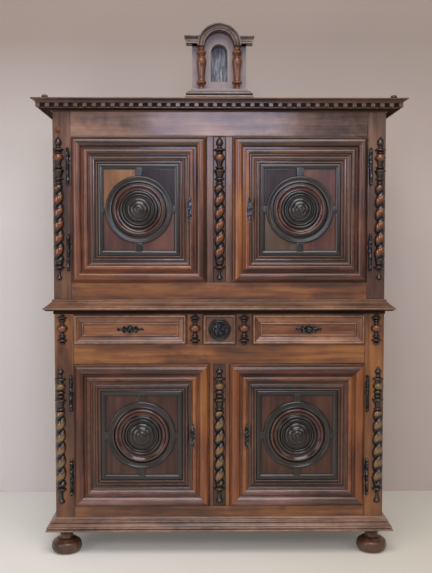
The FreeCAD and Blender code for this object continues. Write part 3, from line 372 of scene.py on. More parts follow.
@dataclass(frozen=True)
class LimedWood:
    """A painted or limed board whose thin pale coat has rubbed through in streaks along the fibres."""

    name: str
    coat: str
    shade: str
    bare: str
    streak_mm: float = 7.0
    streak_length_mm: float = 90.0
    cloud_mm: float = 45.4545455
    bare_from: float = 0.55
    bare_to: float = 0.8
    roughness: float = 0.6

    def build(self) -> bpy.types.Material:
        """Makes the material.

        Returns:
            The finished material.
        """
        material, tree = blank_material(self.name)
        grain = add_node(tree, "Attribute", attribute_name="grain")
        place = grain.outputs["Vector"]
        squeeze = stretched(self.streak_length_mm, self.streak_mm)
        fine = add_node(tree, "VectorMath", {0: place, 1: squeeze}, operation="MULTIPLY")
        streaks = add_node(tree, "TexNoise", {
            "Vector": fine.outputs[0], "Scale": 1.0, "Detail": 5.0, "Roughness": 0.65,
        })
        clouds = add_node(tree, "TexNoise", {"Vector": place, "Scale": 1 / (self.cloud_mm * MM),
                                             "Detail": 3.0})
        tint = add_node(tree, "Mix", {"Factor": clouds.outputs["Fac"], 6: linear(self.coat),
                                      7: linear(self.shade)}, data_type="RGBA")
        bare = add_node(tree, "MapRange", {
            "Value": streaks.outputs["Fac"], "From Min": self.bare_from, "From Max": self.bare_to,
        })
        colour = add_node(tree, "Mix", {"Factor": bare.outputs["Result"], 6: tint.outputs[2],
                                        7: linear(self.bare)}, data_type="RGBA")
        relief = add_node(tree, "Bump", {"Height": streaks.outputs["Fac"], "Strength": 0.35,
                                         "Distance": MM})
        skin = add_node(tree, "BsdfPrincipled", {
            "Base Color": colour.outputs[2], "Roughness": self.roughness, "IOR": 1.5,
            "Normal": relief.outputs["Normal"],
        })
        add_node(tree, "OutputMaterial", {"Surface": skin.outputs["BSDF"]})
        return material


@dataclass(frozen=True)
class ForgedIron:
    """Wrought iron, hammered on the anvil and blackened in oil, so it shines only where it is rubbed."""

    name: str = "forged_iron"
    scale_black: str = "#262729"
    rubbed: str = "#7d7f84"
    hammer_mm: float = 9.0
    # Forge scale is finer than a millimetre; it is drawn coarser so that it shows from here.
    grit_mm: float = 2.63157895
    roughness: float = 0.34

    def build(self) -> bpy.types.Material:
        """Makes the material.

        Returns:
            The finished material, which reads the place on the object.
        """
        material, tree = blank_material(self.name)
        place = add_node(tree, "TexCoord").outputs["Object"]
        dents = add_node(tree, "TexNoise", {"Vector": place, "Scale": 1 / (self.hammer_mm * MM),
                                            "Detail": 2.0})
        grit = add_node(tree, "TexNoise", {"Vector": place, "Scale": 1 / (self.grit_mm * MM),
                                           "Detail": 3.0})
        bright = add_node(tree, "MapRange", {"Value": dents.outputs["Fac"], "From Min": 0.49,
                                             "From Max": 0.72})
        colour = add_node(tree, "Mix", {
            "Factor": bright.outputs["Result"], 6: linear(self.scale_black), 7: linear(self.rubbed),
        }, data_type="RGBA")
        rough = add_node(tree, "Math", {0: grit.outputs["Fac"], 1: 0.3, 2: self.roughness - 0.15},
                         operation="MULTIPLY_ADD")
        relief = add_node(tree, "Bump", {"Height": dents.outputs["Fac"], "Strength": 0.6, "Distance": MM})
        skin = add_node(tree, "BsdfPrincipled", {
            "Base Color": colour.outputs[2], "Metallic": 0.85, "Roughness": rough.outputs[0],
            "Normal": relief.outputs["Normal"],
        })
        add_node(tree, "OutputMaterial", {"Surface": skin.outputs["BSDF"]})
        return material


@dataclass(frozen=True)
class StudioPaint:
    """Matt emulsion on the floor and the wall of the studio, which are not part of the cupboard."""

    name: str
    colour: str
    far_colour: str
    high_colour: str
    glow: float = 0.0
    mottle_mm: float = 714.285714
    only_seen: bool = False

    def build(self) -> bpy.types.Material:
        """Makes the material.

        Returns:
            The finished material; one that is only seen lets every lamp's light through, and is
            clear from behind.
        """
        material, tree = blank_material(self.name)
        place = add_node(tree, "TexCoord").outputs["Object"]
        mottle = add_node(tree, "TexNoise", {"Vector": place, "Scale": 1 / (self.mottle_mm * MM),
                                             "Detail": 2.0})
        value = add_node(tree, "MapRange", {"Value": mottle.outputs["Fac"], "To Min": 0.95, "To Max": 1.05})
        parts = add_node(tree, "SeparateXYZ", {0: place})
        # Painted light and shade on the stage: the colour changes from left to right and with height.
        far = add_node(tree, "MapRange", {"Value": parts.outputs["X"], "From Min": -1.0, "From Max": 1.0})
        high = add_node(tree, "MapRange", {"Value": parts.outputs["Z"], "From Min": 1.5, "From Max": 2.5})
        level = add_node(tree, "Mix", {"Factor": far.outputs["Result"], 6: linear(self.colour),
                                       7: linear(self.far_colour)}, data_type="RGBA")
        blend = add_node(tree, "Mix", {"Factor": high.outputs["Result"], 6: level.outputs[2],
                                       7: linear(self.high_colour)}, data_type="RGBA")
        colour = add_node(tree, "HueSaturation", {"Color": blend.outputs[2],
                                                  "Value": value.outputs["Result"]})
        ray = add_node(tree, "LightPath")
        glow = add_node(tree, "Math", {0: ray.outputs["Is Camera Ray"], 1: self.glow}, operation="MULTIPLY")
        skin = add_node(tree, "BsdfPrincipled", {
            "Base Color": colour.outputs["Color"], "Roughness": 0.9,
            "Emission Color": colour.outputs["Color"], "Emission Strength": glow.outputs[0],
        })
        surface = skin.outputs["BSDF"]
        if self.only_seen:
            clear = add_node(tree, "BsdfTransparent")
            looked_at = add_node(tree, "Math", {
                0: ray.outputs["Is Camera Ray"], 1: ray.outputs["Is Glossy Ray"],
            }, operation="MAXIMUM")
            side = add_node(tree, "NewGeometry").outputs["Backfacing"]
            front = add_node(tree, "Math", {0: 1.0, 1: side}, operation="SUBTRACT")
            shown = add_node(tree, "Math", {0: looked_at.outputs[0], 1: front.outputs[0]},
                             operation="MULTIPLY")
            surface = add_node(tree, "MixShader", {0: shown.outputs[0], 1: clear.outputs[0],
                                                   2: surface}).outputs[0]
        add_node(tree, "OutputMaterial", {"Surface": surface})
        return material


# Planed walnut of the frame: warm brown, with tawny crests where the wax is rubbed and a painted highlight
# lies.
CASE_WALNUT = WaxedWood("walnut_waxed_case", "#4c2f1f", "#78492c", "#9a6638", "#1c0f09", "#b58b68")
# The drawers' walnut, handled most: paler, rosier and glossier than the frame.
DRAWER_WALNUT = WaxedWood("walnut_waxed_drawer", "#5a3626", "#7f5137", "#a3704d", "#1c0f09", "#d6b6a0",
                          roughness=0.3, wax=0.5, wax_roughness=0.12)
# Walnut of the base moulding with a painted sheen: a greyed, pinkish brown, with pale crests that stand for
# light on its slopes.
BASE_SHEEN_WALNUT = WaxedWood("walnut_base_painted_sheen", "#523a2e", "#7c5a46", "#9a7660", "#1b100b", "#ceb3a2",
                        roughness=0.34)
# The waist's walnut: a shade darker than the base, with dust and painted shade in its coves.
WAIST_WALNUT = WaxedWood("walnut_waxed_waist", "#432b1f", "#6a4833", "#875f47", "#1b100b", "#bd9c86",
                         roughness=0.36)
# A wide burnished board, waved by the plane: long, soft reflections over red brown.
FRIEZE_WALNUT = WaxedWood("walnut_polished_frieze", "#50372e", "#805b48", "#a07a63", "#1c110d", "#a6826f",
                          roughness=0.48, wax=0.6, wax_roughness=0.13, wave_mm=90, wave_height_mm=1.0)
# Walnut of the uprights with painted shade: a darker, greyish brown for uprights that stand in shade, with
# blunt light on its edges; the feet take it too.
STILE_SHADE_WALNUT = WaxedWood("walnut_stile_painted_shade", "#3d2620", "#5f3f30", "#7d573f", "#180d0a", "#97725b")
# Darker walnut, with hardly any red left in it; in the channel between the doors it is painted shade beside the
# column.
DARK_WALNUT = WaxedWood("walnut_waxed_dark", "#321f19", "#503427", "#6d4734", "#170d0a", "#8a6450")
# Red heartwood of the door frames, scraped and waxed: deep red brown, copper crests.
RED_WALNUT = WaxedWood("walnut_waxed_red", "#301811", "#542c1d", "#77452c", "#120806", "#98654b",
                       roughness=0.34, wax=0.32, wax_roughness=0.12)
# Painted sheen: a greyed rose copy of the red walnut with satin edges, for bottom members whose upward slopes
# catch the light.
SHEEN_WALNUT = WaxedWood("walnut_waxed_painted_sheen", "#4b302a", "#70504a", "#8f6d66", "#150a08", "#bd9a92",
                        roughness=0.32, wax=0.5, wax_roughness=0.12)
# Painted shade: the darkest of the reds, for the upper doors' top members and the inner mouldings, which lie in
# shade; still glossy.
SHADED_WALNUT = WaxedWood("walnut_waxed_shaded", "#281510", "#42261b", "#5f3927", "#0f0705", "#946c58",
                          roughness=0.32, wax=0.55, wax_roughness=0.12)
# Members cut beside the sapwood: an orange brown that stands out by the red ones.
TAWNY_WALNUT = WaxedWood("walnut_waxed_tawny", "#552813", "#7b411f", "#99602f", "#1a0c06", "#b07a52",
                         roughness=0.32, wax=0.5, wax_roughness=0.12)
# Walnut off the lathe, only oiled: copper lights, and neither pores nor blots.
COPPER_WALNUT = WaxedWood("walnut_turned_copper", "#3c1e12", "#663a22", "#845031", "#190c07", "#b07c50",
                          roughness=0.3, wax=0.4, cloud_mm=50, stain=0.0, pores=0.2)
# Turned walnut stained nearly black: russet shows where hands rubbed the twist, fading by painted shade towards
# the shaft's sides.
TURNED_WALNUT = WaxedWood("walnut_turned_russet", "#1a0a05", "#2b140c", "#402114", "#060302", "#7a4528",
                          roughness=0.26, wax=0.5, wax_roughness=0.12, cloud_mm=60, stain=0.0, pores=0.15,
                          patches=0.2)
# The same stain gone olive under a thicker wax, so its lights are sharper.
OLIVE_WALNUT = WaxedWood("walnut_turned_olive", "#1a0d07", "#2b190e", "#402817", "#060302", "#80603a",
                         roughness=0.26, wax=0.7, wax_roughness=0.12, cloud_mm=60, stain=0.0, pores=0.15,
                         patches=0.2)
# Polished heartwood of the bosses' rims: oxblood red, with thin bright rings painted as highlights on its
# crests.
RIM_WALNUT = WaxedWood("walnut_boss_rim", "#280f0a", "#391711", "#4a2218", "#0d0504", "#a06a4b",
                       roughness=0.26, wax=0.7, wax_roughness=0.1, stain=0.0, pores=0.05, patches=0.1)
# Walnut dyed with iron and vinegar: black, with soft grey light on its rings.
BLACKENED_WALNUT = WaxedWood("walnut_blackened", "#140d0b", "#1d1513", "#28201d", "#060403", "#564a44",
                             roughness=0.3, wax=0.55, wax_roughness=0.12, stain=0.0, pores=0.05, patches=0.1)
# End grain, dry and even: a flat brown with paler corners.
TOOTH_WALNUT = WaxedWood("walnut_dentils", "#432c22", "#5b4031", "#715240", "#1a100c", "#8f705c",
                         cloud_mm=300, wax=0.3, wax_roughness=0.14)
# Painted shadow: a near-black, matt walnut laid where shade falls, under the cornice and the waist and behind
# the teeth; it swallows nearly all the light.
SHADOW_WALNUT = WaxedWood("walnut_painted_shadow", "#1d120d", "#291a13", "#35231a", "#0c0705", "#3c2b22",
                          roughness=0.8, wax=0.0, gloss=0.08)
# Pearwood dyed black and waxed: charcoal with silky grey crests.
EBONISED = WaxedWood("pearwood_ebonised", "#17110f", "#211a18", "#2d2421", "#090605", "#5c5350",
                     roughness=0.3, wax=0.5, wax_roughness=0.14, stain=0.0, pores=0.15)
# Painted reflection: a dull violet grey that stands for a sheen of light on these quarters of walnut, with
# hardly any shine of its own.
VIOLET_SHEEN_VENEER = WaxedWood("walnut_veneer_violet", "#221718", "#2f2223", "#3c2e2f", "#130d0d", "#4a3c3d",
                          wax=0.05, gloss=0.25)
# Knife-cut walnut from the heart: an even russet under a thin wax.
RUSSET_VENEER = WaxedWood("walnut_veneer_russet", "#40231b", "#553026", "#693e30", "#22110d", "#7b5342",
                          wax=0.2)
# Knife-cut walnut, browner and drier than the russet leaves.
UMBER_VENEER = WaxedWood("walnut_veneer_umber", "#311a13", "#45281d", "#5a3727", "#1b0d09", "#6a4837",
                         wax=0.1)
# Knife-cut walnut from the outer log: a leaf of olive brown.
OLIVE_VENEER = WaxedWood("walnut_veneer_olive", "#3d2c1c", "#503a24", "#62492e", "#1b120b", "#705a3c",
                         wax=0.2)
# Knife-cut ash: yellow amber, the lightest leaf of all.
AMBER_VENEER = WaxedWood("ash_veneer_amber", "#684224", "#7b522e", "#8c633a", "#412c16", "#9b734a",
                         stain=0.2, wax=0.1)
# Sawn oak that never saw wax: dusty, pale and matt.
PLAIN_OAK = WaxedWood("oak_sawn_plain", "#4a3524", "#68503a", "#856a4e", "#2c1f15", "#94785c",
                      roughness=0.7, wax=0.0)
# Walnut greyed by paint that wore off: pale crests with painted highlight over nearly black grooves with
# painted shade.
GREYED_WALNUT = WaxedWood("walnut_greyed", "#3a2720", "#5b443b", "#7b6359", "#0f0706", "#cbb9b1",
                          roughness=0.36, cloud_mm=90)
# Poplar under a thin limewash: lilac grey with bare streaks along the fibres.
LIMED_BOARD = LimedWood("poplar_limed", "#9d8f91", "#857b80", "#6c5f60")
# The same board in the recess: a darker blue grey with light streaks; its darkness is partly painted shade in
# the recess.
RECESS_SHADE_BOARD = LimedWood("poplar_recess_shade", "#62666d", "#44484e", "#aab0b9", streak_length_mm=55.0,
                          bare_from=0.46, bare_to=0.7, roughness=0.5)
# Hammered iron blackened in oil: charcoal hollows with steel-grey highs.
IRON = ForgedIron()
# Pale floor paint with painted light: brightest to the left, darker and a little warmer to the right.
FLOOR_PAINT = StudioPaint("emulsion_floor", "#fffefb", "#e6e1d5", "#f0ebdf", glow=0.1)
# Matt wall paint with painted shade: a little darker to the right, and greyer and darker with height.
WALL_PAINT = StudioPaint("emulsion_wall", "#ece8e9", "#dccfca", "#a89b95", only_seen=True)

Finish = WaxedWood | LimedWood | ForgedIron


@dataclass
class Stock:
    """Shaped wood or iron on its way to being a piece."""

    figure_along: ClassVar[float] = 0.73
    figure_across: ClassVar[Sequence[Row]] = ((0.06, 0.137, 0.21), (0.05, 0.211, 0.17))
    points: list[Vector] = field(default_factory=list)
    faces: list[tuple[int, ...]] = field(default_factory=list)
    wear: list[float] = field(default_factory=list)
    grain: list[Vector] = field(default_factory=list)

    def add(self, points: Sequence[Vector], faces: Sequence[tuple[int, ...]], wear: Sequence[float]) -> None:
        """Adds points in the stock's own directions, with the faces between them.

        Args:
            points: the new points.
            faces: which of the new points each face joins.
            wear: the wear of each new point.
        """
        start = len(self.points)
        self.points += points
        self.grain += [point.copy() for point in points]
        self.wear += wear
        self.faces += [tuple(start + index for index in face) for face in faces]

    def placed(self, place: Matrix, along: Along = Along.LENGTH, shift: float = 0.0) -> Stock:
        """A copy of the stock set down in the frame.

        Args:
            place: turns and moves the stock's own directions into the frame.
            along: which of its own directions the fibres follow.
            shift: a number that sets this board's figure apart from its neighbours'.

        Returns:
            The placed copy, whose grain stays with the wood.
        """
        first, second, third = along.value
        aside = [start + (shift * step) % span for start, step, span in self.figure_across]
        offset = Vector((shift * self.figure_along, *aside))
        grain = [Vector((spot[first], spot[second], spot[third])) + offset for spot in self.grain]
        return Stock([place @ point for point in self.points], list(self.faces), list(self.wear), grain)

    def joined(self, other: Stock) -> Stock:
        """This stock with another's points and faces added.

        Args:
            other: the stock that is added.

        Returns:
            Both as one.
        """
        start = len(self.points)
        faces = self.faces + [tuple(start + index for index in face) for face in other.faces]
        return Stock(self.points + other.points, faces, self.wear + other.wear, self.grain + other.grain)


def gathered(parts: Iterable[Stock]) -> Stock:
    """Joins several stocks, in their order.

    Args:
        parts: the stocks, already set down in the frame.

    Returns:
        All of them as one.
    """
    whole = Stock()
    for part in parts:
        whole = whole.joined(part)
    return whole


def traced(rows: Sequence[Row], sides: int = 10) -> list[Flat]:
    """Follows an outline of straight and round stretches.

    Args:
        rows: across and up in millimetres; a third number makes the stretch that starts there an
            arc, whose rise is that share of its chord, to the right of the way.
        sides: how many short sides an arc is drawn with.

    Returns:
        The outline's points, in metres.
    """
    points: list[Flat] = []
    for row, following in zip(rows, tuple(rows[1:]) + tuple(rows[:1])):
        across, up = row[0] * MM, row[1] * MM
        points.append((across, up))
        if len(row) < 3:
            continue
        run, rise = following[0] * MM - across, following[1] * MM - up
        half_angle = 2 * math.atan(2 * row[2])
        for side in range(1, sides):
            turn = half_angle * (2 * side / sides - 1)
            forward = 0.5 + math.sin(turn) / (2 * math.sin(half_angle))
            outward = (math.cos(turn) - math.cos(half_angle)) / (2 * math.sin(half_angle))
            points.append((across + run * forward + rise * outward, up + rise * forward - run * outward))
    return points


def worn_heights(line: Sequence[Flat], part: int, reach_mm: float, depth_mm: float) -> list[float]:
    """How far each point of an outline stands above or below its neighbours.

    Args:
        line: the outline's points, in metres.
        part: which of a point's two numbers says how far it stands out.
        reach_mm: how far a duster reaches along the outline.
        depth_mm: the step that counts as fully rubbed or fully grimed.

    Returns:
        Nought in a groove, one half on a flat and one on a crest.
    """
    worn = []
    for here in line:
        near = [spot[part] for spot in line
                if math.hypot(spot[0] - here[0], spot[1] - here[1]) < reach_mm * MM]
        step = here[part] - (max(near) + min(near)) / 2
        worn.append(min(1.0, max(0.0, 0.5 + step / (depth_mm * MM) / 2)))
    return worn


def lofted(rows: int, count: int, closed: bool = False) -> list[tuple[int, ...]]:
    """The four-sided faces over rows of points, each row a loop of its own.

    Args:
        rows: how many rows there are.
        count: how many points a row has.
        closed: joins the last row to the first.

    Returns:
        For each face a point, the next in its row, and the two beside them in the next row.
    """
    faces: list[tuple[int, ...]] = []
    for row in range(rows if closed else rows - 1):
        low, high = row * count, (row + 1) % rows * count
        for index in range(count):
            following = (index + 1) % count
            faces.append((low + index, low + following, high + following, high + index))
    return faces


def caps(rows: int, count: int) -> list[tuple[int, ...]]:
    """The two faces that close the first and the last row."""
    return [tuple(reversed(range(count))), tuple(range((rows - 1) * count, rows * count))]


def turned(outline: Sequence[Flat], sides: int = 48, split: bool = False,
           twist: Twist | None = None) -> Stock:
    """Turns an outline of radius and height about the upright axis.

    Args:
        outline: radius and height of each point from the foot up, in metres.
        sides: how many sides a full turn has.
        split: keeps only the front half, flat at the back.
        twist: winds the section round the axis between two heights.

    Returns:
        The turned stock, closed at both ends.
    """
    stock = Stock()
    spokes = sides // 2 + 1 if split else sides
    wear = worn_heights(outline, 0, *BROAD_WEAR_MM)
    points, worn = [], []
    for (radius, height), rubbed in zip(outline, wear):
        for spoke in range(spokes):
            angle = 2 * math.pi * spoke / sides + (math.pi if split else 0)
            reach, tip = (radius, rubbed) if twist is None else twist.reach(radius, rubbed, angle, height)
            points.append(Vector((math.cos(angle) * reach, math.sin(angle) * reach, height)))
            worn.append(tip)
    stock.add(points, lofted(len(outline), spokes) + caps(len(outline), spokes), worn)
    return stock


def faced(outline: Sequence[Flat], sides: int, reach_mm: float, depth_mm: float) -> Stock:
    """A turning that is seen end on, so that its highest rings are the rubbed ones.

    Args:
        outline: radius and height of each point from the foot up, in metres.
        sides: how many sides a full turn has.
        reach_mm: how far a duster reaches along the outline.
        depth_mm: the step that counts as fully rubbed.

    Returns:
        The turned stock.
    """
    stock = turned(outline, sides)
    stock.wear = [rubbed for rubbed in worn_heights(outline, 1, reach_mm, depth_mm) for _ in range(sides)]
    return stock


@dataclass(frozen=True)
class Twist:
    """A single strand that winds up a shaft, with a sharp valley beside a round bead."""

    low: float
    high: float
    pitch: float
    valley: float

    def reach(self, radius: float, rubbed: float, angle: float, height: float) -> tuple[float, float]:
        """The shaft's radius and wear at one place.

        Args:
            radius: the bead's radius at this height.
            rubbed: the wear of the plain turning there.
            angle: round the axis, in radians.
            height: above the column's foot, in metres.

        Returns:
            The radius and the wear of the twisted shaft there, the wear fading by painted shade towards the
            sides.
        """
        inside = min(height - self.low, self.high - height)
        if inside < 0:
            return radius, rubbed
        fade = min(1.0, inside / (self.pitch / 5))
        phase = angle - 2 * math.pi * (height - self.low) / self.pitch
        across = 1 - math.acos(abs(math.cos(phase / 2))) * 2 / math.pi
        bead = math.sqrt(1 - (1 - across) ** 2)
        depth = (radius - self.valley) * (1 - bead) * fade
        # Painted shade: the bead's rubbed colour fades towards the shaft's sides, where the strand turns away.
        painted_front_light = min(1.0, 0.3 + 0.8 * abs(math.sin(angle)))
        return radius - depth, min(1.0, across * 1.5) ** 1.5 * painted_front_light * fade + 0.3 * (1 - fade)


def run_of(section: Sequence[Flat], length: float, ends: tuple[int, int],
           wear_mm: Flat = BROAD_WEAR_MM) -> Stock:
    """One length of moulding along X, with its back on the X axis.

    Args:
        section: how far out and how high each point of the closed section is.
        length: along the back, in metres.
        ends: one where the mitre grows with the distance out, minus one where it shrinks, nought
            where the end is square.
        wear_mm: how far the duster reaches, and the step that counts as fully rubbed.

    Returns:
        The length, with Y out and Z up.
    """
    points = []
    for share in (0, 1):
        for out, up in section:
            start, end = -out * ends[0], length + out * ends[1]
            points.append(Vector((start + (end - start) * share, out, up)))
    faces = [(second, first, fourth, third) for first, second, third, fourth in lofted(2, len(section))]
    faces += [tuple(reversed(cap)) for cap in caps(2, len(section))]
    stock = Stock()
    stock.add(points, faces, worn_heights(section, 0, *wear_mm) * 2)
    return stock


def planed(low: Corner, high: Corner, edge_mm: float = 0.8, rub_mm: float = 4.0,
           edge_wear: float = 0.26) -> Stock:
    """A squared board with softened edges.

    Args:
        low: its lowest corner, in metres.
        high: its highest corner.
        edge_mm: how far the edges are rounded.
        rub_mm: how far from the edges their wear reaches.
        edge_wear: nought where grime fills the joint along the edge, one where a hand rubs it.

    Returns:
        The board, in the frame's own directions.
    """
    shape = bmesh.new()
    bmesh.ops.create_cube(shape, size=1.0)
    size = Vector(high) - Vector(low)
    middle = (Vector(high) + Vector(low)) / 2
    for vertex in shape.verts:
        vertex.co = Vector(part * share for part, share in zip(vertex.co, size)) + middle
    soft = min(edge_mm * MM, min(size) / 4)
    bmesh.ops.bevel(shape, geom=shape.edges[:], offset=soft, segments=2, profile=0.5, affect="EDGES")
    worn = {vertex: edge_wear for vertex in shape.verts}
    flats = sorted(shape.faces, key=lambda face: face.calc_area(), reverse=True)[:6]
    inner = min(rub_mm * MM, min(size) / 3)
    bmesh.ops.inset_individual(shape, faces=flats, thickness=inner, use_even_offset=True)
    stock = Stock()
    shape.verts.index_update()
    points = [vertex.co.copy() for vertex in shape.verts]
    wear = [worn.get(vertex, 0.5) for vertex in shape.verts]
    faces = [tuple(vertex.index for vertex in face.verts) for face in shape.faces]
    shape.free()
    stock.add(points, faces, wear)
    return stock


def longest(low: Corner, high: Corner) -> Along:
    """The direction in which a board is longest, which its fibres follow."""
    sizes = [top - bottom for bottom, top in zip(low, high)]
    return (Along.LENGTH, Along.DEPTH, Along.HEIGHT)[sizes.index(max(sizes))]


def sawn(outlines: Sequence[Sequence[Flat]], thickness: float, edge_mm: float = 0.6) -> Stock:
    """A flat plate cut to an outline, with holes, facing the front.

    Args:
        outlines: the outer outline and the holes, across and up in metres.
        thickness: of the plate, in metres.
        edge_mm: how far its edges are filed round.

    Returns:
        The plate, with its back on the plane Y = 0 and its face towards -Y.
    """
    edge = edge_mm * MM
    curve = bpy.data.curves.new("plate_outline", "CURVE")
    curve.dimensions = "2D"
    curve.fill_mode = "BOTH"
    curve.extrude = thickness / 2 - edge
    curve.bevel_depth = edge
    curve.bevel_resolution = 1
    curve.offset = -edge
    for outline in outlines:
        spline = curve.splines.new("POLY")
        spline.points.add(len(outline) - 1)
        for point, (across, up) in zip(spline.points, outline):
            point.co = (across, up, 0, 1)
        spline.use_cyclic_u = True
    holder = bpy.data.objects.new("plate_outline", curve)
    bpy.context.scene.collection.objects.link(holder)
    mesh = bpy.data.meshes.new_from_object(holder)
    stock = Stock()
    points = [Vector((vertex.co.x, -vertex.co.z - thickness / 2, vertex.co.y)) for vertex in mesh.vertices]
    stock.add(points, [tuple(face.vertices) for face in mesh.polygons], [0.5] * len(points))
    bpy.data.objects.remove(holder)
    bpy.data.curves.remove(curve)
    bpy.data.meshes.remove(mesh)
    return stock


def full_round(sides: int) -> list[Flat]:
    """A round of radius one, across and up."""
    turns = [2 * math.pi * side / sides for side in range(sides)]
    return [(math.cos(turn), math.sin(turn)) for turn in turns]


def four_ways(quarter: Sequence[Flat]) -> list[Flat]:
    """A whole outline from its quarter, which runs from the right tip to the top.

    Args:
        quarter: across and up; its first point lies level with the middle, its last above it.

    Returns:
        The closed outline.
    """
    half = list(quarter) + [(-across, up) for across, up in reversed(quarter[:-1])]
    return half + [(across, -up) for across, up in reversed(half[1:-1])]


def keyhole(radius: float, drop: float) -> list[Flat]:
    """A round with a slot below it, about the middle of the round.

    Args:
        radius: of the round, in metres.
        drop: how far below the middle the slot ends.

    Returns:
        The closed outline.
    """
    half_slot, steps = radius / 2, 16
    turns = [math.radians(-60 + 300 * step / steps) for step in range(steps + 1)]
    head = [(radius * math.cos(turn), radius * math.sin(turn)) for turn in turns]
    return [(half_slot, -drop)] + head + [(-half_slot, -drop)]


def stained_dark(stock: Stock, shaft: Flat, ball: Flat) -> list[float]:
    """The wear of a turning whose rings and necks were stained, apart from its shaft and its ball, whose colour
    fades by painted shade towards its sides.

    Args:
        stock: the turning, upright.
        shaft: the lowest and highest place of the shaft.
        ball: the lowest and highest place of the golden ball.

    Returns:
        The wear of each point.
    """
    ball_edge, ball_front_light = 0.45, 0.5
    stain_limit, stain_share = 0.58, 0.65
    wear = []
    for point, rubbed in zip(stock.points, stock.wear):
        if ball[0] <= point.z <= ball[1]:
            # Painted shade: the ball's colour fades towards its sides.
            rubbed = max(rubbed, ball_edge + ball_front_light * abs(math.sin(math.atan2(point.y, point.x))))
        elif not shaft[0] <= point.z <= shaft[1]:
            rubbed = min(stain_limit, rubbed * stain_share)
        wear.append(rubbed)
    return wear


def at(across: float, depth: float, up: float, turn: Matrix | None = None) -> Matrix:
    """A place in the frame, with a turn before the move."""
    move = Matrix.Translation((across, depth, up))
    return move @ turn if turn else move


def facing_front(quarter: int = 0) -> Matrix:
    """Turns stock so that its own Z points to the front, then rolls it by quarters as seen there."""
    return Matrix.Rotation(math.radians(-90 * quarter), 4, "Y") @ Matrix.Rotation(math.radians(90), 4, "X")


def swung(quarters: int) -> Matrix:
    """Turns stock about the upright axis; by two quarters, a moulding grows towards the front."""
    return Matrix.Rotation(quarters * math.pi / 2, 4, "Z")


@dataclass
class Bench:
    """Where stock becomes pieces of the scene, each with its finish and the body it rides on."""

    materials: dict[str, bpy.types.Material] = field(default_factory=dict)
    pieces: int = 0
    figure_step: float = 0.618

    def material(self, finish: Finish | StudioPaint) -> bpy.types.Material:
        """The finish's material, made once.

        Args:
            finish: what a surface is.

        Returns:
            Its material.
        """
        if finish.name not in self.materials:
            self.materials[finish.name] = finish.build()
        return self.materials[finish.name]

    def shift(self) -> float:
        """A new number for the next board's figure."""
        self.pieces += 1
        return self.pieces * self.figure_step

    def laid(self, shape: Stock, place: Matrix | None = None, along: Along = Along.LENGTH) -> Stock:
        """Sets stock down in the frame, with a figure of its own."""
        return shape.placed(Matrix() if place is None else place, along, self.shift())

    def piece(self, name: str, stock: Stock, finish: Finish, body: str, slot: Slot,
              nodes: Sequence[str] = (), sharp: float = 40.0) -> bpy.types.Object:
        """Makes one piece of the scene.

        Args:
            name: the piece's own name.
            stock: its shape, already set down in the frame.
            finish: what its surface is.
            body: the CAD body that it rides on.
            slot: the record's slot that the finish belongs to; not used.
            nodes: the CAD nodes that it stands for.
            sharp: the angle in degrees above which an edge stays crisp.

        Returns:
            The new object.
        """
        mesh = bpy.data.meshes.new(name)
        mesh.from_pydata(stock.points, [], stock.faces)
        grain = mesh.attributes.new("grain", "FLOAT_VECTOR", "POINT")
        grain.data.foreach_set("vector", [part for spot in stock.grain for part in spot])
        # The wear values also carry painted shade in hollows and painted highlight on crests.
        wear = mesh.attributes.new("wear", "FLOAT", "POINT")
        wear.data.foreach_set("value", stock.wear)
        mesh.materials.append(self.material(finish))
        mesh.shade_smooth()
        mesh.set_sharp_from_angle(angle=math.radians(sharp))
        item = bpy.data.objects.new(name, mesh)
        bpy.context.scene.collection.objects.link(item)
        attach(item, body)
        if nodes:
            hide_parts(*nodes)
        log.info("%s rides on %s", name, body)
        return item

    def boards(self, name: str, boxes: Sequence[tuple[Corner, Corner]], finish: Finish, body: str, slot: Slot,
               nodes: Sequence[str] = ()) -> bpy.types.Object:
        """Planes several boards, each with its own figure, and joins them in one piece.

        Args:
            name: the piece's own name.
            boxes: the lowest and highest corner of each board.
            finish: what its surface is.
            body: the CAD body that it rides on.
            slot: the record's slot that the finish belongs to.
            nodes: the CAD nodes that it stands for.

        Returns:
            The new object.
        """
        stock = gathered(self.laid(planed(low, high), along=longest(low, high)) for low, high in boxes)
        return self.piece(name, stock, finish, body, slot, nodes)


def both_sides(low: Corner, high: Corner) -> list[tuple[Corner, Corner]]:
    """A board on the right and its mirror image on the left."""
    return [(low, high), ((-high[0], low[1], low[2]), (-low[0], high[1], high[2]))]


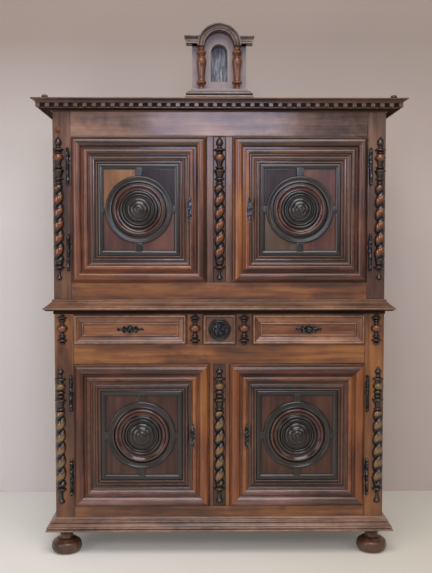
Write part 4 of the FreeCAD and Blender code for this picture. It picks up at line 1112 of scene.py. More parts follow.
@dataclass
class Carcass:
    """One of the two cases: its frame, panels, back and boards."""

    case: Case
    bench: Bench
    frame_thickness: float = FRAME_THICKNESS
    side_thickness: float = 34 * MM
    side_stile: float = 56 * MM
    rear_post: float = 70 * MM
    board: float = 18 * MM
    back_board: float = 14 * MM
    panel: float = 12 * MM
    panel_sinking: float = 8 * MM
    clearance: float = CLEARANCE
    shelf_setback: float = 66 * MM
    planks: int = 4
    channel_half: float = 27 * MM
    channel_depth: float = 5 * MM
    frieze_shade: float = 0.24

    def __post_init__(self) -> None:
        """Reads the levels and edges that the frame's nodes meet at."""
        low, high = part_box(self.case + "_stiles")
        self.half, self.front, self.back = high.x, low.y, high.y
        self.low, self.high = (corner.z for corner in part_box(self.case + "_rails"))
        door_low, door_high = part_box(self.case + "_right_door_frame")
        self.edge, self.centre = door_high.x + self.clearance, door_low.x - self.clearance
        self.doors_low, self.doors_high = door_low.z - self.clearance, door_high.z + self.clearance
        self.inner = self.half - self.side_thickness
        self.frame_back = self.front + self.frame_thickness

    def levels(self) -> list[tuple[float, float]]:
        """The lowest and highest place of each level rail.

        Returns:
            A pair for each rail, from the floor up.
        """
        if self.case is Case.UPPER:
            return [(self.low, self.doors_low), (self.doors_high, self.high)]
        drawers_low, drawers_high = (corner.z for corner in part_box("drawer_dividers"))
        return [(self.low, self.doors_low), (self.doors_high, drawers_low), (drawers_high, self.high)]

    def build(self) -> None:
        """Makes every board of the case."""
        self.stiles()
        self.rails()
        self.panels()
        self.shelves()

    def stiles(self) -> None:
        """The upright members, with the channelled one between the doors."""
        node = self.case + "_stiles"
        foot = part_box(node)[0].z
        side_back = self.frame_back + self.side_stile
        boxes = both_sides((self.edge, self.front, self.low), (self.half, self.frame_back, self.high))
        boxes += both_sides((self.inner, self.back - self.rear_post, foot), (self.half, self.back, self.high))
        boxes += both_sides((self.inner, self.frame_back, self.low), (self.half, side_back, self.high))
        # The upper case's uprights take a darker copy of the walnut as painted shade.
        finish = STILE_SHADE_WALNUT if self.case is Case.UPPER else CASE_WALNUT
        self.bench.boards(self.case + "_corner_uprights", boxes, finish, "case", Slot.WALNUT, [node])
        boxes = both_sides((self.channel_half, self.front, self.doors_low),
                           (self.centre, self.frame_back, self.doors_high))
        self.bench.boards(self.case + "_middle_uprights", boxes, finish, "case", Slot.GOLDEN, [node])
        # Painted shade: the channel beside the middle column is dark walnut, standing for the column's shadow.
        channel = ((-self.channel_half, self.front + self.channel_depth, self.doors_low),
                   (self.channel_half, self.frame_back, self.doors_high))
        self.bench.boards(self.case + "_channel_shade_board", [channel], DARK_WALNUT, "case", Slot.WALNUT, [node])

    def rails(self) -> None:
        """The level members at the front and at both sides."""
        boxes, frieze = [], []
        for low, high in self.levels():
            front = ((-self.edge, self.front, low), (self.edge, self.frame_back, high))
            (frieze if self.case is Case.UPPER and high == self.high else boxes).append(front)
            boxes += both_sides((self.inner, self.frame_back + self.side_stile, low),
                                (self.half, self.back - self.rear_post, high))
        node = self.case + "_rails"
        self.bench.boards(self.case + "_crosspieces", boxes, CASE_WALNUT, "case", Slot.GOLDEN, [node])
        for low, high in frieze:
            stock = self.bench.laid(planed(low, high))
            # Painted shade: the frieze's wear falls towards its right end, so that it darkens there.
            stock.wear = [worn - self.frieze_shade * point.x / self.edge
                          for worn, point in zip(stock.wear, stock.points)]
            self.bench.piece("frieze_board", stock, FRIEZE_WALNUT, "case", Slot.WALNUT, [node])

    def panels(self) -> None:
        """The sunk side panels and the upright planks of the back."""
        outer = self.half - self.panel_sinking
        boxes = []
        levels = self.levels()
        for (_, low), (high, _) in zip(levels, levels[1:]):
            boxes += both_sides((outer - self.panel, self.frame_back + self.side_stile, low),
                                (outer, self.back - self.rear_post, high))
        self.bench.boards(self.case + "_side_boards", boxes, DARK_WALNUT, "case", Slot.WALNUT,
                          [self.case + "_side_panels"])
        width = self.inner * 2 / self.planks
        planks = [((-self.inner + width * number, self.back - self.back_board, self.low),
                   (-self.inner + width * (number + 1), self.back, self.high))
                  for number in range(self.planks)]
        self.bench.boards(self.case + "_planks", planks, PLAIN_OAK, "case", Slot.OAK, [self.case + "_back"])

    def shelves(self) -> None:
        """The level boards inside; the frame gives their rise through the node's own corners."""
        back = self.back - self.back_board
        node = self.case + "_boards"
        levels = sorted({round(vertex.co.z, 5) for vertex in bpy.data.objects[node].data.vertices})
        boxes = []
        for low, high in zip(levels[::2], levels[1::2]):
            shelf = self.doors_low + self.board < high < self.doors_high
            boxes.append(((-self.inner, self.front + self.shelf_setback if shelf else self.frame_back, low),
                          (self.inner, back, high)))
        self.bench.boards(self.case + "_shelves", boxes, PLAIN_OAK, "case", Slot.OAK, [node])


@dataclass
class Girdle:
    """A moulding that runs round the front and both sides, mitred at the front corners."""

    name: str
    bench: Bench
    finish: Finish
    section_mm: Sequence[Row]
    low: float
    nodes: Sequence[str] = ()

    def build(self) -> None:
        """Makes the three lengths."""
        half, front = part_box("upper_rails")[1].x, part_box("upper_rails")[0].y
        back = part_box("upper_stiles")[1].y
        section = traced(self.section_mm)
        lengths = (
            (half * 2, (1, 1), at(half, front, self.low, swung(2))),
            (back - front, (1, 0), at(-half, front, self.low, swung(1))),
            (back - front, (0, 1), at(half, back, self.low, swung(-1))),
        )
        stock = gathered(self.bench.laid(run_of(section, length, ends, FINE_WEAR_MM), place)
                         for length, ends, place in lengths)
        self.bench.piece(self.name + "_lengths", stock, self.finish, "case", Slot.GOLDEN, self.nodes,
                         sharp=32)


BASE_MM: Sequence[Row] = (
    (0, 0), (37, 0), (39, 1, 0.35), (39, 9), (35, 10), (34, 13), (37, 14, 0.3), (36, 20), (32, 22, -0.08),
    (24, 34), (19, 35), (18, 38), (22, 39, 0.35), (20, 44), (15, 45), (14, 47, -0.1), (3, 56), (3, 59),
    (0, 59),
)
WAIST_MM: Sequence[Row] = (
    (0, 0), (3, 0), (3, 15), (12, 17), (30, 17), (36, 20), (40, 21), (41, 22, 0.35), (40, 31), (35, 33),
    (33, 36, -0.05), (11, 56), (8, 57), (8, 60, 0.3), (6, 65), (0, 65),
)
CORNICE_MM: Sequence[Row] = (
    (0, 0), (7, 2), (12, 7), (47, 8), (50, 9), (50, 12), (51, 12), (51, 29), (60, 30), (60, 32, -0.22),
    (75, 42), (76, 43), (78.6, 44, 0.2), (79.6, 49), (0, 49),
)
# Painted shadow: a dark skin on the cornice's soffit, which lies in shade.
SOFFIT_SHADOW_MM: Sequence[Row] = ((11, 5), (49, 6.5), (49, 10), (11, 9))
# Painted shadow: a dark strip in the cove under the waist moulding, where its overhang casts shade.
UNDERSIDE_SHADOW_MM: Sequence[Row] = ((0, 1), (4, 1), (4, 15), (14, 16), (34, 16), (34, 19), (0, 19))


@dataclass
class Cornice:
    """The crowning moulding with its teeth and the two little knobs that stand on its corners."""

    bench: Bench
    tooth: float = 20 * MM
    pitch: float = 40 * MM
    stand: float = 10 * MM
    gap: float = MM / 2
    strip_share: float = 0.75
    knob_mm: ClassVar[Sequence[Row]] = (
        (9, 0), (7, 2), (6, 6), (8, 8), (12, 9, 0.3), (13, 14, 0.2), (11, 18), (5, 20),
    )

    def build(self) -> None:
        """Makes the mouldings, the teeth and the knobs."""
        low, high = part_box("cornice")
        Girdle("cornice", self.bench, DARK_WALNUT, CORNICE_MM, low.z, ["cornice"]).build()
        # Painted shadow on the soffit.
        Girdle("cornice_soffit_shadow", self.bench, SHADOW_WALNUT, SOFFIT_SHADOW_MM, low.z).build()
        self.teeth()
        knob = turned(traced(self.knob_mm), sides=24)
        base_low, base_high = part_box("cornice_knobs")
        radius = (base_high.y - base_low.y) / 2
        places = [at(side * (base_high.x - radius), base_low.y + radius, high.z) for side in (-1, 1)]
        stock = gathered(self.bench.laid(knob, place, Along.HEIGHT) for place in places)
        self.bench.piece("corner_knobs", stock, DARK_WALNUT, "case", Slot.TURNED, ["cornice_knobs"])

    def teeth(self) -> None:
        """The teeth, before a strip of painted shadow that darkens the gaps between them."""
        low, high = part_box("cornice_dentils")
        half, front, back = high.x, low.y, high.y
        near, far, foot, head = self.stand * self.strip_share, self.stand, low.z + self.gap, high.z - self.gap
        strips = [((-half + self.gap, front + near, foot), (half - self.gap, front + far, head))]
        strips += [((left, front + far, foot), (right, back - self.gap, head))
                   for left, right in ((-half + near, -half + far), (half - far, half - near))]
        self.bench.boards("cornice_shadow_strip", strips, SHADOW_WALNUT, "case", Slot.WALNUT)
        runs = [(-half, half, front, Matrix())]
        length, middle = back - front - self.tooth, (front + self.tooth + back) / 2
        runs += [(-length / 2, length / 2, 0.0, at(side * half, middle, 0, swung(side))) for side in (-1, 1)]
        teeth = [(planed(*box, edge_mm=1.2, rub_mm=2.0, edge_wear=0.12), place)
                 for start, end, face, place in runs for box in self.row(start, end, low.z, high.z, face)]
        stock = gathered(self.bench.laid(tooth, place, Along.HEIGHT) for tooth, place in teeth)
        self.bench.piece("cornice_teeth", stock, TOOTH_WALNUT, "case", Slot.WALNUT, ["cornice_dentils"])

    def row(self, start: float, end: float, low: float, high: float,
            face: float) -> list[tuple[Corner, Corner]]:
        """The boxes of one straight run of teeth, standing out towards -Y.

        Args:
            start: where the first tooth begins.
            end: where the last tooth ends.
            low: the teeth's lowest place.
            high: their highest place.
            face: the Y place of their faces.

        Returns:
            The lowest and highest corner of each tooth.
        """
        count = int((end - start) / self.pitch + 0.5)
        pitch = (end - start - self.tooth) / (count - 1)
        half_tooth = self.tooth / 2
        middles = [start + half_tooth + pitch * number for number in range(count)]
        return [((middle - half_tooth, face, low), (middle + half_tooth, face + self.stand, high))
                for middle in middles]


@dataclass
class Door:
    """One door: a moulded frame round a sunk, veneered field with its ebonised ring and its boss."""

    case: Case
    hand: Side
    bench: Bench
    frame_width: float = 76 * MM
    ear_width: float = 31 * MM
    ear_reach: float = 8 * MM
    field_inset: float = 140 * MM
    field_sinking: float = 4 * MM
    band_start: float = 40 * MM
    ear_lap: float = 3 * MM
    ear_stand: float = 9 * MM
    ear_over: float = 6 * MM
    leaf_lap: float = 3 * MM
    round_sides: int = 96
    frame_wear_mm: ClassVar[Flat] = (8, 8)
    ring_wear_mm: ClassVar[Flat] = (6, 8)
    boss_wear_mm: ClassVar[Flat] = (5, 3.5)
    boss_radius_mm: float = 109.0
    ring_radius_mm: float = 148.0
    frame_mm: ClassVar[Sequence[Row]] = (
        (0, -24), (76, -24), (76, 6), (75, 11, 0.34), (54, 14), (52, 14), (51, 8), (45, 8), (44, 12, 0.37),
        (3, 11), (2, 9), (0, 8),
    )
    hollow_mm: ClassVar[Sequence[Row]] = (
        (0, 0), (41, 0), (41, 7), (39, 12, 0.35), (35, 11), (34, 8), (29, 8), (28, 12), (26, 14),
        (21, 14.5), (19, 11, -0.2), (4, 10), (3, 13, 0.3), (1, 15), (0, 15),
    )
    band_mm: ClassVar[Sequence[Row]] = (
        (0, 0), (26, 0), (26, 3), (24, 3), (23, 5, 0.14), (4, 8), (2, 5), (0, 5),
    )
    ring_mm: ClassVar[Sequence[Row]] = (
        (104, 0), (148, 0), (148, 4, 0.3), (139, 10), (137, 8), (135, 8), (133, 7, -0.1), (122, 8),
        (120, 5), (117, 2), (104, 2),
    )
    rim_mm: ClassVar[Sequence[Row]] = (
        (109, 0), (109, 6, 0.4), (102, 12), (100, 10, -0.16), (87, 5), (86, 3), (1, 3),
    )
    core_mm: ClassVar[Sequence[Row]] = (
        (86, 0), (86, 4), (84, 5), (83, 8, 0.36), (73, 14), (71, 10), (70, 9), (69, 12, 0.36), (62, 15),
        (60, 9), (59, 6), (54, 6), (53, 12), (52, 15, 0.1), (42, 20.5), (40.6, 20), (39.5, 22, 0.08),
        (24, 30), (22.6, 29.4), (21.4, 31.4, 0.09), (9, 36), (8, 35.2), (7, 37, 0.2), (1, 38),
    )
    members: ClassVar[dict[tuple[Case, Side, Member], WaxedWood]] = {
        # Painted shade on the upper doors' top members.
        (Case.UPPER, Side.LEFT, Member.TOP): SHADED_WALNUT,
        (Case.UPPER, Side.RIGHT, Member.TOP): SHADED_WALNUT,
        (Case.UPPER, Side.RIGHT, Member.LEFT): TAWNY_WALNUT,
        (Case.LOWER, Side.LEFT, Member.RIGHT): TAWNY_WALNUT,
        (Case.LOWER, Side.RIGHT, Member.LEFT): TAWNY_WALNUT,
        (Case.LOWER, Side.RIGHT, Member.RIGHT): TAWNY_WALNUT,
        (Case.UPPER, Side.LEFT, Member.BOTTOM): TAWNY_WALNUT,
        # Painted sheen on the lower doors' bottom members.
        (Case.LOWER, Side.LEFT, Member.BOTTOM): SHEEN_WALNUT,
        (Case.LOWER, Side.RIGHT, Member.BOTTOM): SHEEN_WALNUT,
    }
    leaves: ClassVar[dict[tuple[Case, Side, Quarter], WaxedWood]] = {
        (Case.UPPER, Side.LEFT, Quarter.TOP_LEFT): AMBER_VENEER,
        (Case.UPPER, Side.RIGHT, Quarter.BOTTOM_LEFT): OLIVE_VENEER,
        # Painted reflection: the violet quarters stand for sheen on the veneer.
        (Case.UPPER, Side.LEFT, Quarter.TOP_RIGHT): VIOLET_SHEEN_VENEER,
        (Case.UPPER, Side.RIGHT, Quarter.TOP_LEFT): VIOLET_SHEEN_VENEER,
    }

    def __post_init__(self) -> None:
        """Reads the door's place from the frame."""
        self.name = "%s_%s_door" % (self.case, self.hand)
        self.low, self.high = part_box(self.name + "_frame")
        self.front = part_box(self.case + "_rails")[0].y
        self.middle = (self.low.x + self.high.x) / 2
        self.level = (self.low.z + self.high.z) / 2
        self.field = self.front + self.field_sinking
        self.half_width = (self.high.x - self.low.x) / 2 - self.field_inset
        self.half_height = (self.high.z - self.low.z) / 2 - self.field_inset
        self.ring_radius = min(self.half_width, self.half_height) - self.ear_reach

    def build(self) -> None:
        """Makes all the door's pieces."""
        for member, stock in self.surround(traced(self.frame_mm), 0.0, self.front, self.frame_wear_mm).items():
            finish = self.members.get((self.case, self.hand, member), RED_WALNUT)
            self.bench.piece("%s_frame_%s" % (self.name, member.name.lower()), stock, finish, self.name,
                             Slot.WALNUT, [self.name + "_frame"], sharp=32)
        band_inset = self.frame_width + self.band_start
        nodes = [self.name + "_moulding"]
        mouldings = (
            # Painted shade: the inner moulding takes the darkest of the reds.
            ("_inner_moulding", self.hollow_mm, self.frame_width, (6, 5), SHADED_WALNUT, Slot.WALNUT, nodes),
            ("_ebonised_band", self.band_mm, band_inset, (4, 6), EBONISED, Slot.EBONY, []),
        )
        for ending, rows, inset, wear_mm, finish, slot, nodes in mouldings:
            stock = gathered(self.surround(traced(rows), inset, self.field, wear_mm).values())
            self.bench.piece(self.name + ending, stock, finish, self.name, slot, nodes, sharp=32)
        self.ring()
        self.board()
        self.boss()

    def surround(self, section: Sequence[Flat], inset: float, face: float,
                 wear_mm: tuple[float, float]) -> dict[Member, Stock]:
        """Four lengths mitred round the door at an inset from its edge.

        Args:
            section: the moulding's section, in from the edge and out from the face.
            inset: from the door's edge, in metres.
            face: the Y place that the moulding's back lies on.
            wear_mm: how far the duster reaches, and the step that counts as fully rubbed.

        Returns:
            The four lengths, by their place.
        """
        left, right = self.low.x + inset, self.high.x - inset
        low, high = self.low.z + inset, self.high.z - inset
        corners = ((left, low), (right, low), (right, high), (left, high))
        lengths = (right - left, high - low, right - left, high - low)
        heights = worn_heights(section, 1, *wear_mm)
        members = {}
        for member, (across, up), length in zip(Member, corners, lengths):
            run = run_of(section, length, (-1, -1))
            run.wear = heights * 2
            members[member] = self.bench.laid(run, at(across, face, up, facing_front(member.value)))
        return members

    def ring(self) -> None:
        """The ebonised ring and the four ears that tie it to the frame."""
        grow = self.ring_radius - self.ring_radius_mm * MM
        outline = [(radius + grow, up) for radius, up in traced(self.ring_mm)]
        sides = self.round_sides
        points = []
        for spoke in range(sides):
            angle = 2 * math.pi * spoke / sides
            points += [Vector((math.cos(angle) * radius, math.sin(angle) * radius, up))
                       for radius, up in outline]
        faces = [(first, fourth, third, second)
                 for first, second, third, fourth in lofted(sides, len(outline), closed=True)]
        hoop = Stock()
        hoop.add(points, faces, worn_heights(outline, 1, *self.ring_wear_mm) * sides)
        stock = self.bench.laid(hoop, at(self.middle, self.field, self.level, facing_front()))
        reach, half_ear = self.ring_radius - self.ear_lap, self.ear_width / 2
        wide, tall = self.half_width + self.ear_over, self.half_height + self.ear_over
        ears = [((reach, -half_ear), (wide, half_ear)), ((-wide, -half_ear), (-reach, half_ear)),
                ((-half_ear, reach), (half_ear, tall)), ((-half_ear, -tall), (half_ear, -reach))]
        for (left, low), (right, high) in ears:
            ear = planed((self.middle + left, self.field - self.ear_stand, self.level + low),
                         (self.middle + right, self.field, self.level + high), edge_mm=2.5, edge_wear=0.6)
            stock = stock.joined(self.bench.laid(ear))
        self.bench.piece(self.name + "_ring", stock, EBONISED, self.name, Slot.EBONY, sharp=32)

    def board(self) -> None:
        """The panel, veneered in four corner fields."""
        low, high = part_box(self.name + "_panel")
        core = ((low.x, low.y + MM, low.z), (high.x, high.y, high.z))
        self.bench.boards(self.name + "_panel_board", [core], UMBER_VENEER, self.name, Slot.WALNUT,
                          [self.name + "_panel"])
        wide, tall = self.half_width + self.leaf_lap, self.half_height + self.leaf_lap
        quarters = {Quarter.TOP_LEFT: (-wide, 0.0), Quarter.TOP_RIGHT: (0.0, 0.0),
                    Quarter.BOTTOM_LEFT: (-wide, -tall), Quarter.BOTTOM_RIGHT: (0.0, -tall)}
        for corner, (near, foot) in quarters.items():
            leaf = ((self.middle + near, low.y, self.level + foot),
                    (self.middle + near + wide, low.y + MM, self.level + foot + tall))
            self.bench.boards("%s_veneer_%s" % (self.name, corner), [leaf], self.veneer(corner), self.name,
                              Slot.WALNUT)

    def veneer(self, corner: Quarter) -> WaxedWood:
        """Which leaf of veneer lies in a corner of this door's field.

        Args:
            corner: which quarter of the field.

        Returns:
            The leaf's finish.
        """
        usual = RUSSET_VENEER if self.case is Case.UPPER else UMBER_VENEER
        return self.leaves.get((self.case, self.hand, corner), usual)

    def boss(self) -> None:
        """The turned boss in the middle of the field: a red rim with a blackened core."""
        low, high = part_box(self.name + "_boss")
        stretch = (high.x - low.x) / 2 / (self.boss_radius_mm * MM)
        place = at(self.middle, self.field, self.level, facing_front())
        turnings = (("_turned_boss", self.rim_mm, RIM_WALNUT, [self.name + "_boss"]),
                    ("_boss_core", self.core_mm, BLACKENED_WALNUT, []))
        for ending, rows, finish, nodes in turnings:
            outline = [(radius * stretch, up) for radius, up in traced(rows, sides=5)]
            stock = self.bench.laid(faced(outline, self.round_sides, *self.boss_wear_mm), place)
            self.bench.piece(self.name + ending, stock, finish, self.name, Slot.TURNED, nodes, sharp=50)


@dataclass
class HalfColumns:
    """The split columns that stand on the stiles of one case."""

    case: Case
    bench: Bench
    radius: float = 23.5 * MM
    pitch: float = 57.3 * MM
    valley: float = 9.5 * MM
    upper_mm: ClassVar[Sequence[Row]] = (
        (5, 0), (10, 3, 0.3), (11, 14), (7, 26), (7, 31, -0.1), (11, 44), (19, 50), (22, 53, 0.3), (22, 61),
        (13, 65), (12, 68), (17, 71, 0.35), (17, 78), (20, 84), (23.5, 92), (23.5, 410), (20, 419),
        (14, 423), (15, 426, 0.35), (15, 433), (12, 437), (14, 441), (20, 444, 0.35), (20, 451), (15, 455),
        (17, 464), (22, 476), (23, 479, 0.3), (23, 488), (14, 492), (17, 495, 0.35), (17, 502), (12, 505),
        (13, 512), (18, 529), (22.5, 533, 0.2), (22, 548, 0.1), (17, 556), (13, 559), (15, 561, 0.35),
        (15, 566), (12, 569), (23, 572, 0.35), (23, 580), (12, 585), (9, 591), (14, 598, 0.15),
        (15, 612, 0.1), (8, 625), (5, 630), (1, 634),
    )
    lower_mm: ClassVar[Sequence[Row]] = (
        (5, 0), (11, 3, 0.3), (12, 20), (8, 36), (8, 41, -0.1), (12, 52), (19, 60), (22, 63, 0.3), (22, 70),
        (14, 75), (18, 80), (23.5, 90), (23.5, 400), (20, 412), (14, 416), (18, 419, 0.35), (18, 427),
        (13, 430), (15, 440), (20, 456), (23, 459, 0.35), (23, 468), (14, 472), (14, 474), (16, 476, 0.35),
        (16, 484), (13, 487), (18, 492, 0.3), (18, 504), (13, 508), (18, 512, 0.28), (18, 536), (13, 540),
        (12, 549), (23, 552, 0.35), (23, 561), (10, 566), (8, 576), (13, 582, 0.2), (13, 595), (6, 602),
        (4, 608), (1, 612),
    )
    twist_mm: ClassVar[Flat] = (84, 420)
    button_rise: float = 28 * MM
    button_mm: ClassVar[Sequence[Row]] = ((14, 0), (14, 4, 0.3), (10, 8), (9, 6), (8, 10, 0.2), (1, 13))
    shaft_mm: ClassVar[dict[Case, Flat]] = {Case.UPPER: (84, 421), Case.LOWER: (80, 412)}
    ball_mm: ClassVar[dict[Case, Flat]] = {Case.UPPER: (529, 557), Case.LOWER: (508, 540)}

    def build(self) -> None:
        """Makes the three columns as one piece."""
        low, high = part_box(self.case + "_half_columns")
        rows = self.upper_mm if self.case is Case.UPPER else self.lower_mm
        stretch = (high.z - low.z) / (rows[-1][1] * MM)
        outline = self.divided([(radius, up * stretch) for radius, up in traced(rows, sides=5)])
        twist = Twist(self.twist_mm[0] * MM, self.twist_mm[1] * MM * stretch, self.pitch, self.valley)
        column = turned(outline, sides=56, split=True, twist=twist)
        shaft, ball = [(start * MM * stretch, end * MM * stretch)
                       for start, end in (self.shaft_mm[self.case], self.ball_mm[self.case])]
        column.wear = stained_dark(column, shaft, ball)
        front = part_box(self.case + "_rails")[0].y
        spots = ((low.x + self.radius, front), (0.0, high.y), (high.x - self.radius, front))
        stock = gathered(self.bench.laid(column, at(across, depth, low.z), Along.HEIGHT)
                         for across, depth in spots)
        finish = TURNED_WALNUT if self.case is Case.UPPER else OLIVE_WALNUT
        self.bench.piece(self.case + "_twisted_columns", stock, finish, "case", Slot.TURNED,
                         [self.case + "_half_columns"], sharp=55)
        if self.case is Case.UPPER:
            self.button()

    def button(self) -> None:
        """The one turned button left above the columns, on the left stile."""
        low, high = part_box("upper_half_columns")
        place = at(low.x + self.radius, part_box("upper_rails")[0].y, high.z + self.button_rise, facing_front())
        stock = self.bench.laid(turned(traced(self.button_mm, sides=5), sides=32), place)
        self.bench.piece("left_stile_button", stock, COPPER_WALNUT, "case", Slot.TURNED, sharp=50)

    def divided(self, outline: Sequence[Flat]) -> list[Flat]:
        """Adds levels to the long straight shaft, so that the twist has points to bend.

        Args:
            outline: radius and height of each point, in metres.

        Returns:
            The outline with its added points.
        """
        step = self.pitch / 26
        fine: list[Flat] = []
        for (radius, up), (next_radius, next_up) in zip(outline, outline[1:]):
            count = max(1, math.ceil((next_up - up) / step))
            for part in range(count):
                share = part / count
                fine.append((radius + (next_radius - radius) * share, up + (next_up - up) * share))
        return fine + [outline[-1]]


@dataclass
class Spindles:
    """The four split turnings beside the drawers; only their balls keep their colour."""

    bench: Bench
    rows_mm: ClassVar[Sequence[Row]] = (
        (4, 0), (11, 2, 0.3), (12, 8), (9, 11), (20, 15, 0.35), (20, 23), (12, 27), (10, 31), (15, 34, 0.3),
        (15, 40), (10, 45), (9, 51), (13, 55), (17, 58, 0.3), (17, 86), (13, 89), (9, 93), (10, 99),
        (15, 103, 0.3), (15, 109), (11, 112), (20, 115, 0.35), (20, 122), (10, 125), (11, 128, 0.3),
        (7, 133), (2, 135),
    )
    ball_mm: ClassVar[Flat] = (55, 89)
    half_divider: float = 35.5 * MM

    def build(self) -> None:
        """Makes the four spindles as one piece."""
        low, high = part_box("drawer_spindles")
        spindle = turned(traced(self.rows_mm, sides=6), sides=40, split=True)
        ball = (self.ball_mm[0] * MM, self.ball_mm[1] * MM)
        spindle.wear = stained_dark(spindle, ball, ball)
        radius = high.y - low.y
        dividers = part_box("centre_drawer_front")[1].x + CLEARANCE + self.half_divider
        spots = (low.x + radius, -dividers, dividers, high.x - radius)
        stock = gathered(self.bench.laid(spindle, at(across, high.y, low.z), Along.HEIGHT)
                         for across in spots)
        self.bench.piece("split_spindles", stock, TURNED_WALNUT, "case", Slot.TURNED, ["drawer_spindles"],
                         sharp=55)


@dataclass
class Feet:
    """The two round feet in front."""

    bench: Bench
    rows_mm: ClassVar[Sequence[Row]] = (
        (40, 0), (50, 2, 0.14), (64, 16, 0.1), (67, 34), (66, 38, 0.14), (58, 54), (55, 56), (52, 57, 0.12),
        (36, 64), (31, 68), (30, 72, -0.12), (33, 92), (40, 100), (43, 103), (43, 110),
    )

    def build(self) -> None:
        """Makes both feet as one piece."""
        low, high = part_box("bun_feet")
        radius = (high.y - low.y) / 2
        foot = turned(traced(self.rows_mm, sides=8), sides=64)
        places = [at(side * (high.x - radius), low.y + radius, 0) for side in (-1, 1)]
        stock = gathered(self.bench.laid(foot, place, Along.HEIGHT) for place in places)
        self.bench.piece("round_feet", stock, STILE_SHADE_WALNUT, "case", Slot.TURNED, ["bun_feet"], sharp=55)


@dataclass
class Drawer:
    """A drawer's moulded front and its box."""

    side: Side
    bench: Bench
    front_mm: ClassVar[Sequence[Row]] = (
        (0, -1), (44, -1), (44, 3), (43, 5, 0.36), (38, 5), (37, 2), (36, 2, -0.06), (14, 9), (13, 8),
        (12, 10, 0.34), (4, 11), (3, 8), (0, 7),
    )
    plain_mm: ClassVar[Sequence[Row]] = (
        (0, -1), (15, -1), (15, 6), (12, 7), (11, 10, 0.25), (2, 11), (0, 8),
    )
    wear_mm: ClassVar[Flat] = (7, 7)
    raised: float = 5 * MM
    box_board: float = 12 * MM
    floor_rise: float = 8 * MM
    floor_board: float = 8 * MM

    def build(self) -> None:
        """Makes the drawer."""
        name = self.side + "_drawer"
        low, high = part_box(name + "_front")
        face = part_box("lower_rails")[0].y
        rows = self.plain_mm if self.side is Side.CENTRE else self.front_mm
        section = traced(rows)
        heights = worn_heights(section, 1, *self.wear_mm)
        corners = ((low.x, low.z), (high.x, low.z), (high.x, high.z), (low.x, high.z))
        lengths = (high.x - low.x, high.z - low.z) * 2
        raised = self.raised if self.side is Side.CENTRE else 0.0
        front = self.bench.laid(planed((low.x, face - raised, low.z), (high.x, high.y, high.z)))
        for quarter, ((across, up), length) in enumerate(zip(corners, lengths)):
            run = run_of(section, length, (-1, -1))
            run.wear = heights * 2
            front = front.joined(self.bench.laid(run, at(across, face, up, facing_front(quarter))))
        finish = WAIST_WALNUT if self.side is Side.CENTRE else DRAWER_WALNUT
        self.bench.piece(name + "_moulded_front", front, finish, name, Slot.GOLDEN, [name + "_front"],
                         sharp=32)
        self.box(name)

    def box(self, name: str) -> None:
        """The plain box behind the front.

        Args:
            name: the drawer's name.
        """
        low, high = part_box(name + "_box")
        left, right, rear = low.x + self.box_board, high.x - self.box_board, high.y - self.box_board
        under = low.z + self.floor_rise
        boxes = [((low.x, low.y, low.z), (left, high.y, high.z)),
                 ((right, low.y, low.z), (high.x, high.y, high.z)),
                 ((left, rear, under), (right, high.y, high.z)),
                 ((left, low.y, under), (right, rear, under + self.floor_board))]
        self.bench.boards(name + "_boards", boxes, PLAIN_OAK, name, Slot.OAK, [name + "_box"])


